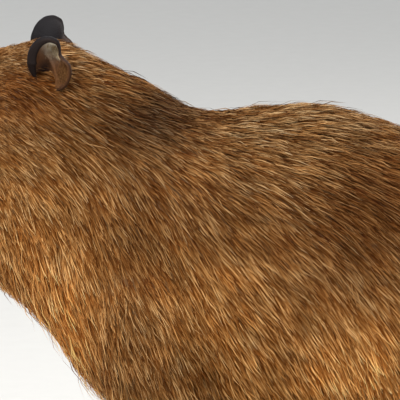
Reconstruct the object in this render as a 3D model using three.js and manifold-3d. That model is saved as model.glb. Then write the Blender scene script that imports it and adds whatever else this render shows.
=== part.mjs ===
// A capybara sitting on its haunches, life size, as a still museum model.
// Millimetres, +Z up. It looks along -X, so its left side faces -Y, and it sits on the plane z = 0.
import * as THREE from "three";
import { mergeVertices } from "three/addons/utils/BufferGeometryUtils.js";
import Module from "manifold-3d";

const wasm = await Module();
wasm.setup();

// Driving sizes
const gap = 0.3; // between parts that touch
const coreUnderCoat = 6; // how far the core of a coated part lies under the coat's outline
const sides = [
  { name: "left", side: -1 },
  { name: "right", side: 1 },
];

// The outline of head, neck and trunk as ribs from nose to rump. Each rib is a flat ring that runs
// from the topline to the underline; half is half its width, waist how far down it is widest,
// and boxy is 2 for an ellipse and more for squarer corners.
const ribs = [
  { at: "nose tip", top: [-383, 497], bottom: [-382, 449], half: 25, waist: 0.5, boxy: 2.5 },
  { at: "nose", top: [-375, 511], bottom: [-377, 420], half: 41, waist: 0.52, boxy: 2.8 },
  { at: "lips", top: [-352, 520], bottom: [-362, 399], half: 48, waist: 0.55, boxy: 2.9 },
  { at: "muzzle", top: [-318, 529], bottom: [-338, 384], half: 52, waist: 0.56, boxy: 2.8 },
  { at: "eyes", top: [-262, 544], bottom: [-300, 362], half: 63, waist: 0.55, boxy: 2.6 },
  { at: "cheeks", top: [-208, 559], bottom: [-262, 337], half: 77, waist: 0.52, boxy: 2.5 },
  { at: "ears", top: [-148, 566], bottom: [-224, 308], half: 88, waist: 0.54, boxy: 2.3 },
  { at: "nape", top: [-74, 537], bottom: [-176, 268], half: 99, waist: 0.56, boxy: 2.1 },
  { at: "neck base", top: [0, 499], bottom: [-134, 216], half: 113, waist: 0.55, boxy: 2.1 },
  { at: "withers", top: [62, 499], bottom: [-90, 182], half: 127, waist: 0.53, boxy: 2.1 },
  { at: "shoulders", top: [130, 501], bottom: [-15, 163], half: 141, waist: 0.55, boxy: 2.1 },
  { at: "ribcage", top: [200, 483], bottom: [68, 136], half: 153, waist: 0.57, boxy: 2.1 },
  { at: "belly", top: [268, 454], bottom: [145, 103], half: 162, waist: 0.58, boxy: 2.1 },
  { at: "loin", top: [330, 415], bottom: [212, 66], half: 165, waist: 0.58, boxy: 2.1 },
  { at: "hips", top: [388, 362], bottom: [272, 30], half: 158, waist: 0.58, boxy: 2.1 },
  { at: "croup", top: [432, 298], bottom: [330, -2], half: 140, waist: 0.58, boxy: 2.1 },
  { at: "rump", top: [459, 222], bottom: [378, -7], half: 110, waist: 0.58, boxy: 2.1 },
  { at: "seat", top: [468, 150], bottom: [420, 2], half: 72, waist: 0.56, boxy: 2.1 },
  { at: "rump end", top: [463, 95], bottom: [447, 48], half: 28, waist: 0.5, boxy: 2 },
];

// Where one named part of the body ends and the next begins, counted in ribs.
const neckStarts = 6.25;
const torsoStarts = 8.05;
const lastRib = ribs.length - 1;
const coatFrom = 4.5; // the short hair of the face lengthens between these two ribs
const coatFull = 6.5;
const ribGap = 0.006; // the gap between two parts of the body, in ribs
const headMesh = { rings: 26, around: 36 };
const neckMesh = { rings: 7, around: 32 };
const torsoMesh = { rings: 28, around: 32 };

// Swellings and hollows of the outline, each at a point of the left side and its mirror.
const swellings = [
  { at: "brow", centre: [-258, -50, 540], reach: [26, 18, 12], lift: 5 },
  { at: "cheek", centre: [-226, -74, 455], reach: [44, 40, 42], lift: 6 },
  { at: "whisker pad", centre: [-350, -44, 452], reach: [24, 24, 22], lift: 5 },
  { at: "nostril mound", centre: [-376, -22, 500], reach: [16, 14, 12], lift: 4 },
  { at: "chin", centre: [-345, 0, 396], reach: [18, 26, 12], lift: 4 },
  { at: "lip hollow", centre: [-352, -50, 412], reach: [34, 20, 9], lift: -3 },
  { at: "nose bridge", centre: [-320, -40, 512], reach: [40, 16, 16], lift: -3 },
  { at: "shoulder blade", centre: [20, -100, 400], reach: [60, 60, 80], lift: 7 },
  { at: "ribs", centre: [120, -150, 290], reach: [90, 70, 90], lift: 6 },
  { at: "neck crease", centre: [-120, -95, 380], reach: [24, 60, 110], lift: -7 },
];

const eye = { centre: [-263, -43, 516], radius: 12.5, lid: 15.5 };
const eyeSlit = { centre: [-264, -57.7, 517], radii: [10.5, 9, 6.8] };
const nostril = { centre: [-383, -19, 491], radii: [10, 6.5, 5.5] };
const ear = {
  centre: [-158, -59, 549],
  halfWide: 24,
  halfHigh: 31,
  cup: 11, // how far its middle lies under its rim
  frontRise: 5, // how far the front of the rim stands out
  thick: 3.6,
  lean: 16, // degrees the top leans out
  swivel: 24, // degrees the cup is turned forward
  notch: { turn: 45, width: 26, deep: 0.4 }, // behind the tip, in degrees from the rear upwards
  around: 20,
};

// The line of the mouth from its left corner to the front, and the cleft of the upper lip, as places
// on the outline: how far along the ribs, and the turn round them in degrees from the top.
const mouthLine = [
  [3.25, 124],
  [2.6, 132],
  [1.9, 140],
  [1.2, 151],
  [0.78, 165],
  [0.7, 180],
];
const lipCleft = [
  [0.1, 180],
  [0.45, 180],
  [0.75, 180],
];
const groove = { half: 3, around: 6 };

// The limbs are tubes along stations, each with its half sizes in the side view and across.
const frontLeg = {
  rings: 14,
  around: 14,
  stations: [
    { at: [-34, -84, 345], half: [44, 24] },
    { at: [-42, -98, 295], half: [64, 38] },
    { at: [-48, -104, 235], half: [57, 38] },
    { at: [-53, -104, 180], half: [44, 34] },
    { at: [-58, -101, 125], half: [32, 28] },
    { at: [-62, -99, 75], half: [26, 25] },
    { at: [-68, -98, 35], half: [28, 27] },
    { at: [-74, -98, 4], half: [26, 26] },
  ],
};
const thigh = {
  rings: 12,
  around: 18,
  stations: [
    { at: [454, -88, 163], half: [24, 20] },
    { at: [430, -98, 175], half: [74, 42] },
    { at: [380, -109, 186], half: [106, 56] },
    { at: [322, -120, 192], half: [113, 61] },
    { at: [268, -130, 192], half: [93, 55] },
    { at: [230, -135, 187], half: [62, 43] },
    { at: [208, -138, 180], half: [28, 26] },
  ],
};
const shank = {
  rings: 8,
  around: 12,
  stations: [
    { at: [240, -136, 170], half: [46, 38] },
    { at: [260, -136, 125], half: [53, 40] },
    { at: [290, -133, 84], half: [45, 34] },
    { at: [318, -130, 50], half: [31, 26] },
    { at: [332, -130, 26], half: [23, 21] },
  ],
};
const hindFoot = {
  rings: 7,
  around: 12,
  stations: [
    { at: [350, -130, 20], half: [12, 12] },
    { at: [334, -130, 21], half: [23, 22] },
    { at: [285, -132, 18], half: [21, 24] },
    { at: [232, -135, 16], half: [19, 28] },
    { at: [196, -138, 13], half: [16, 32] },
  ],
};

// A paw's toes fan out from its ball, spread degrees apart, each with a blunt claw.
const frontPaw = {
  ball: [-90, -98, 13],
  palm: [34, 31, 18],
  toes: 4,
  spread: 17,
  reach: [34, 43, 45, 36],
  thick: 10,
};
const hindPaw = {
  ball: [192, -139, 11],
  palm: [30, 35, 16],
  toes: 3,
  spread: 15,
  reach: [44, 54, 46],
  thick: 12,
};
const toeSteps = [
  { along: 0, rise: 0, size: 0.9 },
  { along: 0.5, rise: 3, size: 1.05 },
  { along: 0.85, rise: -1, size: 1 },
  { along: 1, rise: -3, size: 0.7 },
];
const clawSteps = [
  { along: -4, drop: -1, deep: 0.8, wide: 0.92 },
  { along: 5, drop: 0, deep: 0.78, wide: 0.9 },
  { along: 10.5, drop: 2, deep: 0.6, wide: 0.69 },
  { along: 15, drop: 4, deep: 0.25, wide: 0.29 },
];
const toeMesh = { rings: 4, around: 8 };
const clawMesh = { rings: 3, around: 6 };

// Locks of the coat, flat and tapered, rooted in the core and bent along its lie. At each station
// half is a share of the lock's width, and rise is how far its edges lie over the core.
const lock = {
  seed: 37,
  stations: [
    { along: 0, half: 0.36, rise: -7, thick: 4 },
    { along: 0.52, half: 0.5, rise: 2.6, thick: 4 },
  ],
  tipRise: 9,
  curl: 7, // degrees a lock turns off the lie by its tip, at most
  vary: 0.16, // how far its length and width may depart, as a share
  strewn: { rows: 0.12, limbs: 0.02, turn: 5 }, // how far its root may be moved
  overFloor: 22, // the lowest that a tip may hang
};
const neckRows = [
  { place: 6.62, count: 9, long: 100, wide: 58 },
  { place: 7.36, count: 9, long: 106, wide: 62 },
];
const torsoRows = [
  { place: 8.5, count: 9, long: 122, wide: 74 },
  { place: 9.7, count: 10, long: 122, wide: 74 },
  { place: 10.9, count: 9, long: 124, wide: 80 },
  { place: 12.1, count: 10, long: 126, wide: 78 },
  { place: 13.3, count: 9, long: 126, wide: 80 },
  { place: 14.5, count: 8, long: 118, wide: 74 },
  { place: 15.6, count: 6, long: 100, wide: 64 },
];
const haunchRows = [
  { place: 0.26, turns: [-36, 4, 44], long: 104, wide: 62 },
  { place: 0.5, turns: [-50, -8, 34], long: 110, wide: 64 },
  { place: 0.72, turns: [-30, 16], long: 96, wide: 56 },
];
const shoulderRows = [
  { place: 0.1, turns: [-40, 20], long: 80, wide: 46 },
  { place: 0.3, turns: [-10], long: 76, wide: 44 },
];
const bareBelly = 150; // degrees round from the top where the trunk's locks end
const underLegs = [
  { centre: [318, 190], reach: [96, 92] },
  { centre: [-46, 235], reach: [52, 100] },
];

// The lie of the coat in the side view follows the topline and turns down with the depth below it,
// and more or less so round the middles given here, in degrees.
const lieDown = { most: 58, depth: 110, leastSlope: -18, least: -25, last: 100 };
const limbSpan = { x: [-60, 460], place: [9, 17] }; // which ribs the limbs' locks follow
const lieTurns = [
  { middle: [10, 400], reach: [70, 70], turn: 30 },
  { middle: [-189, 300], reach: [40, 50], turn: 30 },
  { middle: [-100, 320], reach: [45, 60], turn: -18 },
  { middle: [110, 220], reach: [70, 60], turn: -14 },
];

// Solids from rings of points

function middleOf(ring) {
  return ring.reduce((sum, p) => sum.add(p), new THREE.Vector3()).divideScalar(ring.length);
}

// A closed mesh over rings of points, each end closed to the middle of its ring or to the given tip.
function skinOver(rings, tip = middleOf(rings.at(-1))) {
  const around = rings[0].length;
  const points = [middleOf(rings[0]), ...rings.flat(), tip];
  const last = points.length - 1;
  const faces = [];
  const at = (ring, step) => 1 + ring * around + (step % around);
  for (let step = 0; step < around; step++) {
    faces.push(0, at(0, step + 1), at(0, step));
    for (let ring = 0; ring < rings.length - 1; ring++) {
      faces.push(at(ring, step), at(ring, step + 1), at(ring + 1, step));
      faces.push(at(ring, step + 1), at(ring + 1, step + 1), at(ring + 1, step));
    }
    faces.push(last, at(rings.length - 1, step), at(rings.length - 1, step + 1));
  }
  const geometry = new THREE.BufferGeometry().setFromPoints(points);
  geometry.setIndex(faces);
  return solidOf(geometry);
}

// A geometry as a solid for joining and cutting, with its faces turned outwards.
function solidOf(geometry) {
  const bare = geometry.clone();
  bare.deleteAttribute("normal");
  bare.deleteAttribute("uv");
  const merged = mergeVertices(bare, 1e-4);
  const make = (triVerts) =>
    new wasm.Manifold(
      new wasm.Mesh({ numProp: 3, vertProperties: merged.attributes.position.array, triVerts }),
    );
  const faces = new Uint32Array(merged.index.array);
  const made = make(faces);
  return made.volume() > 0 ? made : make(faces.reverse());
}

function ball(centre, radii, detail = 2) {
  const geometry = new THREE.IcosahedronGeometry(1, detail);
  geometry.scale(...radii);
  geometry.translate(...centre);
  return solidOf(geometry);
}

const onSide = ([x, y, z], side) => [x, -side * y, z];
const evenly = (from, to, steps) =>
  Array.from({ length: steps + 1 }, (_, step) => from + ((to - from) * step) / steps);
const joined = (...pieces) => wasm.Manifold.union(pieces);
const onFloor = (solid) => solid.trimByPlane([0, 0, 1], 0);
const curveThrough = (points) =>
  new THREE.CatmullRomCurve3(points.map((p) => new THREE.Vector3(...p)), false, "catmullrom");

function largest(solid) {
  return solid.decompose().reduce((best, piece) => (piece.volume() > best.volume() ? piece : best));
}

// The body's outline

const topline = curveThrough(ribs.map(({ top }) => [top[0], 0, top[1]]));
const underline = curveThrough(ribs.map(({ bottom }) => [bottom[0], 0, bottom[1]]));
const girth = curveThrough(ribs.map(({ half, waist, boxy }) => [half, waist, boxy]));

function swellingAt(point) {
  return swellings.reduce((sum, { centre, reach, lift }) => {
    const off = [point.x - centre[0], Math.abs(point.y) + centre[1], point.z - centre[2]];
    return sum + lift * Math.exp(-off.reduce((s, d, k) => s + (d / reach[k]) ** 2, 0));
  }, 0);
}

// A point of the outline: place runs along the ribs, and turn round them from the top to the left.
function bodyPoint(place, turn, grow) {
  const share = place / lastRib;
  const top = topline.getPoint(share);
  const down = underline.getPoint(share).sub(top);
  const depth = down.length();
  down.normalize();
  const [half, waist, boxy] = girth.getPoint(share).toArray();
  const sink = coreUnderCoat * THREE.MathUtils.smoothstep(place, coatFrom, coatFull) - grow;
  const level = depth * waist;
  const reach = (Math.cos(turn) > 0 ? level : depth - level) - sink;
  const round = (v) => Math.sign(v) * Math.abs(v) ** (2 / boxy);
  const centre = top.clone().addScaledVector(down, level);
  const point = centre.clone().addScaledVector(down, -reach * round(Math.cos(turn)));
  point.y = -(half - sink) * round(Math.sin(turn));
  const outward = point.clone().sub(centre).normalize();
  return point.addScaledVector(outward, swellingAt(point));
}

// A length of the body over rings at the given places.
function bodyLength(places, around, grow = 0) {
  const rings = places.map((place) =>
    evenly(0, 2 * Math.PI, around).slice(1).map((turn) => bodyPoint(place, turn, grow)),
  );
  return onFloor(skinOver(rings));
}

// The surface of a limb as a function of the share of its length and the turn round it.
function limbSurface({ stations, level = [0, 1, 0] }, side, grow = 0) {
  const path = curveThrough(stations.map(({ at }) => onSide(at, side)));
  const sizes = curveThrough(stations.map(({ half }) => [half[0] + grow, half[1] + grow, 0]));
  return (share, turn) => {
    const along = path.getTangent(share);
    const across = new THREE.Vector3(...level);
    across.addScaledVector(along, -along.dot(across)).normalize();
    const deep = new THREE.Vector3().crossVectors(along, across);
    const size = sizes.getPoint(share);
    const point = path.getPoint(share).addScaledVector(deep, size.x * Math.cos(turn));
    return point.addScaledVector(across, size.y * Math.sin(turn));
  };
}

function limb(shape, side = -1, grow = 0) {
  const surface = limbSurface(shape, side, grow);
  const turns = evenly(0, 2 * Math.PI, shape.around).slice(1);
  return skinOver(evenly(0, 1, shape.rings).map((share) => turns.map((turn) => surface(share, turn))));
}

// Locks

const vary = (spread) => spread * (2 * THREE.MathUtils.seededRandom() - 1);
const placeAt = (x) => THREE.MathUtils.mapLinear(x, ...limbSpan.x, ...limbSpan.place);

// The way the coat lies at a point of the body beside the given place along the ribs.
function lieAt(point, place) {
  const share = THREE.MathUtils.clamp(place / lastRib, 0, 1);
  const ahead = topline.getTangent(share);
  const slope = THREE.MathUtils.radToDeg(Math.atan2(-ahead.z, ahead.x));
  const depth = Math.max(0, topline.getPoint(share).z - point.z);
  const down = lieDown.most * (1 - Math.exp(-depth / lieDown.depth));
  const more = lieTurns.reduce((sum, { middle, reach, turn }) => {
    const off = [(point.x - middle[0]) / reach[0], (point.z - middle[1]) / reach[1]];
    return sum + turn * Math.exp(-(off[0] ** 2) - off[1] ** 2);
  }, 0);
  const wanted = Math.max(slope, lieDown.leastSlope) + down + more;
  const angle = THREE.MathUtils.degToRad(THREE.MathUtils.clamp(wanted, lieDown.least, lieDown.last));
  return new THREE.Vector3(Math.cos(angle), 0, -Math.sin(angle));
}

// A surface's own axes at a place on it, the normal turned away from the middle line of its part.
function axesAt(surface, [u, v], middle) {
  const small = 0.01;
  const point = surface(u, v);
  const alongU = surface(u + small, v).sub(point).divideScalar(small);
  const alongV = surface(u, v + small).sub(point).divideScalar(small);
  const normal = new THREE.Vector3().crossVectors(alongU, alongV).normalize();
  if (normal.dot(point.clone().sub(middle)) < 0) normal.negate();
  return { point, alongU, alongV, normal };
}

// The place on a surface that lies nearest a short shift from another place on it.
function glide({ alongU, alongV }, [u, v], shift) {
  const uu = alongU.lengthSq();
  const uv = alongU.dot(alongV);
  const vv = alongV.lengthSq();
  const spread = uu * vv - uv * uv;
  const onU = alongU.dot(shift);
  const onV = alongV.dot(shift);
  return [u + (onU * vv - onV * uv) / spread, v + (onV * uu - onU * uv) / spread];
}

// The run of a lock over a surface: its rings and tip, each ring with two edges and a ridge.
function lockRun(surface, start, { long, wide, turnOff, middleAt, lieOf }) {
  let at = start;
  let reached = 0;
  const run = [];
  const wayOn = (axes, place, curl) => {
    const way = lieOf(axes.point, place);
    way.addScaledVector(axes.normal, -way.dot(axes.normal)).normalize();
    return way.applyAxisAngle(axes.normal, curl);
  };
  const goTo = (along, curl) => {
    const step = ((along - reached) * long) / 2;
    for (let half = 0; half < 2 && step > 0; half++) {
      const axes = axesAt(surface, at, middleAt(at));
      at = glide(axes, at, wayOn(axes, at, curl).multiplyScalar(step));
    }
    reached = along;
  };
  lock.stations.forEach(({ along, half, rise, thick }) => {
    goTo(along, turnOff * along);
    const axes = axesAt(surface, at, middleAt(at));
    const way = wayOn(axes, at, turnOff * along);
    const across = new THREE.Vector3().crossVectors(way, axes.normal);
    const edges = [-1, 1].map((hand) =>
      surface(...glide(axes, at, across.clone().multiplyScalar(hand * half * wide))),
    );
    run.push({ point: axes.point, normal: axes.normal, across, edges, rise, thick });
  });
  goTo(1, turnOff);
  const { point, normal } = axesAt(surface, at, middleAt(at));
  return { run, end: point.addScaledVector(normal, lock.tipRise) };
}

function lockSolid({ run, end }, grow) {
  const rings = run.map(({ point, normal, across, edges, rise, thick }) => [
    edges[0].clone().addScaledVector(normal, rise - grow).addScaledVector(across, -grow),
    point.clone().addScaledVector(normal, rise + thick + grow),
    edges[1].clone().addScaledVector(normal, rise - grow).addScaledVector(across, grow),
  ]);
  const ahead = end.clone().sub(middleOf(rings.at(-1))).normalize();
  return skinOver(rings, end.clone().addScaledVector(ahead, 3 * grow));
}

// The length, width and curl of one lock.
const lockSizes = (long, wide) => ({
  long: long * (1 + vary(lock.vary)),
  wide: wide * (1 + vary(lock.vary)),
  turnOff: THREE.MathUtils.degToRad(vary(lock.curl)),
});

// Whether a leg lies over this point of the trunk's side.
function underLeg({ x, z }) {
  const off = ({ centre, reach }) => Math.hypot((x - centre[0]) / reach[0], (z - centre[1]) / reach[1]);
  return underLegs.some((leg) => off(leg) < 1);
}

// The runs of all locks on a length of the trunk, in staggered rows.
function trunkRuns(rows) {
  const runs = [];
  rows.forEach(({ place, count, long, wide }, row) => {
    for (let step = 0; step < count; step++) {
      const turn = ((step + (row % 2) / 2 + vary(lock.strewn.rows)) / count) * 2 * Math.PI;
      const start = [place + vary(lock.strewn.rows), turn];
      const fromTop = Math.abs(THREE.MathUtils.radToDeg(Math.atan2(Math.sin(turn), Math.cos(turn))));
      const hidden = fromTop > bareBelly || underLeg(bodyPoint(...start, 0));
      if (place > torsoStarts && hidden) continue;
      const laid = lockRun((u, v) => bodyPoint(u, v, 0), start, {
        ...lockSizes(long, wide),
        middleAt: ([u]) => bodyPoint(u, 0, 0).add(bodyPoint(u, Math.PI, 0)).multiplyScalar(0.5),
        lieOf: (point, [u]) => lieAt(point, u),
      });
      if (laid.end.z > lock.overFloor) runs.push(laid);
    }
  });
  return runs;
}

// The runs of the locks on the outer side of a limb.
function limbRuns(shape, side, rows) {
  const surface = limbSurface(shape, side);
  return rows.flatMap(({ place, turns, long, wide }) =>
    turns.map((turn) => {
      const round = THREE.MathUtils.degToRad(90 + turn + vary(lock.strewn.turn));
      return lockRun(surface, [place + vary(lock.strewn.limbs), side * round], {
        ...lockSizes(long, wide),
        middleAt: ([u]) => surface(u, 0).add(surface(u, Math.PI)).multiplyScalar(0.5),
        lieOf: (point) => lieAt(point, placeAt(point.x)),
      });
    }),
  );
}

const locksOf = (runs, grow = 0) => joined(...runs.map((run) => lockSolid(run, grow)));

// Head

// A groove pressed into the outline along places on it.
function grooveAlong(places, level, rings) {
  const stations = places.map(([place, turn]) => ({
    at: bodyPoint(place, THREE.MathUtils.degToRad(turn), 0).toArray(),
    half: [groove.half, groove.half],
  }));
  return limb({ stations, level, rings, around: groove.around });
}

const round = (centre, radius, side) => ball(onSide(centre, side), Array(3).fill(radius));

// The head with its lids, and with the mouth line, lip cleft, eye slits, eyes and nostrils cut out.
function shapedHead(bare) {
  const rightHalf = mouthLine.slice(0, -1).reverse().map(([place, turn]) => [place, 360 - turn]);
  const mouth = grooveAlong([...mouthLine, ...rightHalf], [0, 0, 1], 14);
  const cleft = grooveAlong(lipCleft, [0, 1, 0], 3);
  const lids = sides.map(({ side }) => round(eye.centre, eye.lid, side));
  const hollows = sides.flatMap(({ side }) => [
    ball(onSide(eyeSlit.centre, side), eyeSlit.radii),
    round(eye.centre, eye.radius + gap, side),
    ball(onSide(nostril.centre, side), nostril.radii, 1),
  ]);
  return largest(joined(bare, ...lids).subtract(joined(mouth, cleft, ...hollows)));
}

// The ear is a round bowl with a notched edge, open outwards; rho runs from its middle to its rim.
function earPoint(rho, turn, back, side) {
  const { notch } = ear;
  const oval = 1 / Math.hypot(Math.cos(turn) / ear.halfWide, Math.sin(turn) / ear.halfHigh);
  const offNotch = (THREE.MathUtils.radToDeg(turn) - notch.turn) / notch.width;
  const radius = rho * oval * (1 - notch.deep * rho ** 3 * Math.exp(-(offNotch ** 2)));
  const frontness = Math.max(0, -Math.cos(turn)) ** 2;
  const out = -ear.cup * (1 - rho ** 2) + ear.frontRise * frontness * rho ** 4 - back * ear.thick;
  const point = new THREE.Vector3(radius * Math.cos(turn), -out, radius * Math.sin(turn));
  point.applyAxisAngle(new THREE.Vector3(0, 0, 1), THREE.MathUtils.degToRad(-ear.swivel));
  point.applyAxisAngle(new THREE.Vector3(1, 0, 0), THREE.MathUtils.degToRad(ear.lean));
  point.add(new THREE.Vector3(...ear.centre));
  point.y *= -side;
  return point;
}

// Over its inside from the middle to the rim and back over its outside.
function earBowl(side) {
  const turns = evenly(-Math.PI, Math.PI, ear.around).slice(1);
  const steps = [
    [0.35, 0],
    [0.7, 0],
    [0.93, 0],
    [1, 0.5],
    [0.93, 1.1],
    [0.7, 1],
    [0.35, 1],
  ];
  return skinOver(steps.map(([rho, back]) => turns.map((turn) => earPoint(rho, turn, back, side))));
}

// Paws

function toeWay(paw, toe) {
  const lean = (toe - (paw.toes - 1) / 2) * THREE.MathUtils.degToRad(paw.spread);
  return new THREE.Vector3(-Math.cos(lean), Math.sin(lean), 0);
}

function toeStations(paw, toe) {
  const [x, y, z] = paw.ball;
  const way = toeWay(paw, toe);
  return toeSteps.map(({ along, rise, size }) => {
    const reach = along * paw.reach[toe];
    const sideStep = way.y * paw.palm[1];
    return {
      at: [x + way.x * reach, y + sideStep + way.y * reach, z + rise],
      half: [paw.thick * size, paw.thick * size],
    };
  });
}

function clawStations(paw, toe, grow = 0) {
  const way = toeWay(paw, toe);
  const { at, half } = toeStations(paw, toe).at(-1);
  return clawSteps.map(({ along, drop, deep, wide }) => ({
    at: [at[0] + way.x * along, at[1] + way.y * along, at[2] - drop],
    half: [half[0] * deep + grow, half[1] * wide + grow],
  }));
}

function pawOf(paw, side) {
  const toes = paw.reach.map((_, toe) => limb({ ...toeMesh, stations: toeStations(paw, toe) }, side));
  return joined(ball(onSide(paw.ball, side), paw.palm), ...toes);
}

const clawOf = (paw, toe, side, grow) =>
  limb({ ...clawMesh, stations: clawStations(paw, toe, grow) }, side);

// The parts

const parts = new THREE.Group();
const furBrown = { color: 0x7a5230, roughness: 0.85, metalness: 0 };
const earSkin = { color: 0x3a2a26, roughness: 0.65, metalness: 0 };
const wetEye = { color: 0x140d0a, roughness: 0.08, metalness: 0 };
const hornGrey = { color: 0x3a332e, roughness: 0.45, metalness: 0 };

function addPart(name, solid, look) {
  const { vertProperties, triVerts } = solid.getMesh();
  const geometry = new THREE.BufferGeometry();
  geometry.setAttribute("position", new THREE.BufferAttribute(vertProperties, 3));
  geometry.setIndex(new THREE.BufferAttribute(triVerts, 1));
  geometry.computeVertexNormals();
  const mesh = new THREE.Mesh(geometry, new THREE.MeshStandardMaterial(look));
  mesh.name = name;
  parts.add(mesh);
}

// Head, neck and torso are lengths of the one outline, parted at flat ribs.
const headPlaces = evenly(0, neckStarts - ribGap, headMesh.rings);
const neckPlaces = evenly(neckStarts, torsoStarts - ribGap, neckMesh.rings);
const torsoPlaces = evenly(torsoStarts, lastRib, torsoMesh.rings);
const trunkCutter = bodyLength([...neckPlaces, ...torsoPlaces], torsoMesh.around, gap);
const headCutter = bodyLength(headPlaces, headMesh.around, gap);
const legsOn = ({ side }) => [frontLeg, thigh, shank].map((shape) => limb(shape, side, gap));
const legCutter = joined(...sides.flatMap(legsOn));

// Every node is cut clear of its neighbours, with their locks grown by the gap.
THREE.MathUtils.seededRandom(lock.seed);
const neckRuns = trunkRuns(neckRows);
const torsoRuns = trunkRuns(torsoRows);
const torsoReach = locksOf(torsoRuns, gap);
const trunkReach = joined(torsoReach, locksOf(neckRuns, gap));
const behindNeck = bodyLength([torsoStarts - 2 * ribGap, ...torsoPlaces.slice(1)], torsoMesh.around, gap);
const neckLocks = locksOf(neckRuns).subtract(joined(behindNeck, torsoReach, legCutter));
const torsoLocks = locksOf(torsoRuns).subtract(legCutter);

addPart("head", shapedHead(bodyLength(headPlaces, headMesh.around)), furBrown);
addPart("neck", largest(joined(bodyLength(neckPlaces, neckMesh.around), neckLocks)), furBrown);
addPart("torso", largest(joined(bodyLength(torsoPlaces, torsoMesh.around), torsoLocks)), furBrown);

// A leg with its paw and locks, cut clear of the trunk and of its own claws.
function coatedLeg(limbs, paw, runs, side) {
  const claws = paw.reach.map((_, toe) => clawOf(paw, toe, side, gap));
  const locks = locksOf(runs).subtract(trunkReach);
  const leg = joined(...limbs.map((shape) => limb(shape, side)), pawOf(paw, side), locks);
  return largest(onFloor(leg.subtract(joined(trunkCutter, ...claws))));
}

for (const { name, side } of sides) {
  addPart(`eye_${name}`, round(eye.centre, eye.radius, side), wetEye);
  addPart(`ear_${name}`, largest(earBowl(side).subtract(headCutter).subtract(trunkCutter)), earSkin);

  const shoulderRuns = limbRuns(frontLeg, side, shoulderRows);
  addPart(`front_leg_${name}`, coatedLeg([frontLeg], frontPaw, shoulderRuns, side), furBrown);
  const haunchRuns = limbRuns(thigh, side, haunchRows);
  addPart(`hind_leg_${name}`, coatedLeg([thigh, shank, hindFoot], hindPaw, haunchRuns, side), furBrown);

  for (const [foot, paw] of Object.entries({ front: frontPaw, hind: hindPaw }))
    paw.reach.forEach((_, toe) => {
      addPart(`claw_${foot}_${name}_${toe + 1}`, onFloor(clawOf(paw, toe, side)), hornGrey);
    });
}

// The origin is the middle of the whole body's box, on the floor.
const box = new THREE.Box3().setFromObject(parts);
parts.position.set(-(box.min.x + box.max.x) / 2, -(box.min.y + box.max.y) / 2, 0);
parts.updateMatrixWorld(true);

export default parts;
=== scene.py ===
import math

import bmesh
import bpy
import numpy as np
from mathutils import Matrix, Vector


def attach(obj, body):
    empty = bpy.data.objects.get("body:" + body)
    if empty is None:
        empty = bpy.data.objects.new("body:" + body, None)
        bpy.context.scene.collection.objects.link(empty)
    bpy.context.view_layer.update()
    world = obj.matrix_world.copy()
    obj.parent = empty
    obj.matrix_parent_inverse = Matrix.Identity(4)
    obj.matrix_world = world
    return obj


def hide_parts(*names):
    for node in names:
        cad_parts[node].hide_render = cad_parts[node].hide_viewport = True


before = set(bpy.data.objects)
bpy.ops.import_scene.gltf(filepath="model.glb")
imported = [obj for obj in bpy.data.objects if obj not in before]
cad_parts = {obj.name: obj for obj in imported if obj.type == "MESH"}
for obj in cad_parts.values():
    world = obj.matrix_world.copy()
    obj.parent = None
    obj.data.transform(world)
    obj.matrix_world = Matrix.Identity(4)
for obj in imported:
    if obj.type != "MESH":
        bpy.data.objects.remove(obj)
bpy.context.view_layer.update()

# A capybara sitting on its haunches. Sizes below are in mm, in the frame of the outline's ribs,
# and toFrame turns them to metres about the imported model's origin.
animal = {
    "middle": (45.73, 0.1, 0),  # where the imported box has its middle
    "seed": 11,
    "sides": {"left": -1, "right": 1},
}
rng = np.random.default_rng(animal["seed"])


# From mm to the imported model's metres: the offset from its middle, over a thousand.
def toFrame(points):
    return (np.asarray(points, float) - animal["middle"]) * 0.001


# And back: metres times a thousand, plus the middle.
def inMm(points):
    return points * 1000 + animal["middle"]


# A point of the left side, or its mirror.
def onSide(spot, side):
    return np.asarray(spot, float) * [1, -side, 1]


# Points of either side, mirrored to the left.
def onLeft(points):
    return np.stack([points[..., 0], -np.abs(points[..., 1]), points[..., 2]], -1)


# From 0 at low to 1 at high along 3 * share^2 - 2 * share^3.
def smoothStep(low, high, value):
    share = np.clip((value - low) / (high - low), 0, 1)
    return share * share * (3 - 2 * share)


# A bell: exp(-((value - middle) / width)^2).
def bell(value, middle, width):
    return np.exp(-(((value - middle) / width) ** 2))


# From one value to another by a share.
def mix(first, second, share):
    return first * (1 - share) + second * share


# The length of each vector.
def lengths(vectors):
    return np.linalg.norm(vectors, axis=-1)


# Vectors over their lengths.
def unit(vectors):
    return vectors / np.maximum(lengths(vectors), 1e-9)[..., None]


# Even angles once round.
def onceRound(steps):
    return np.linspace(0, 2 * np.pi, steps, endpoint=False)


# Catmull-Rom: a cubic through each pair of points whose slope at a point is half the step between
# its neighbours, with the ends carried on straight.
def curveThrough(points, share):
    points = np.asarray(points, float)
    padded = np.vstack([2 * points[0] - points[1], points, 2 * points[-1] - points[-2]])
    where = np.clip(share, 0, 1) * (len(points) - 1)
    low = np.minimum(where.astype(int), len(points) - 2)
    t = (where - low)[..., None]
    before, start, end, after = (padded[low + k] for k in range(4))
    slopeIn = (end - before) / 2
    slopeOut = (after - start) / 2
    return (
        (2 * t**3 - 3 * t**2 + 1) * start
        + (t**3 - 2 * t**2 + t) * slopeIn
        + (3 * t**2 - 2 * t**3) * end
        + (t**3 - t**2) * slopeOut
    )


noise = {"waves": 14, "longer": (0.7, 1.4), "strength": 0.6}


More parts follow.
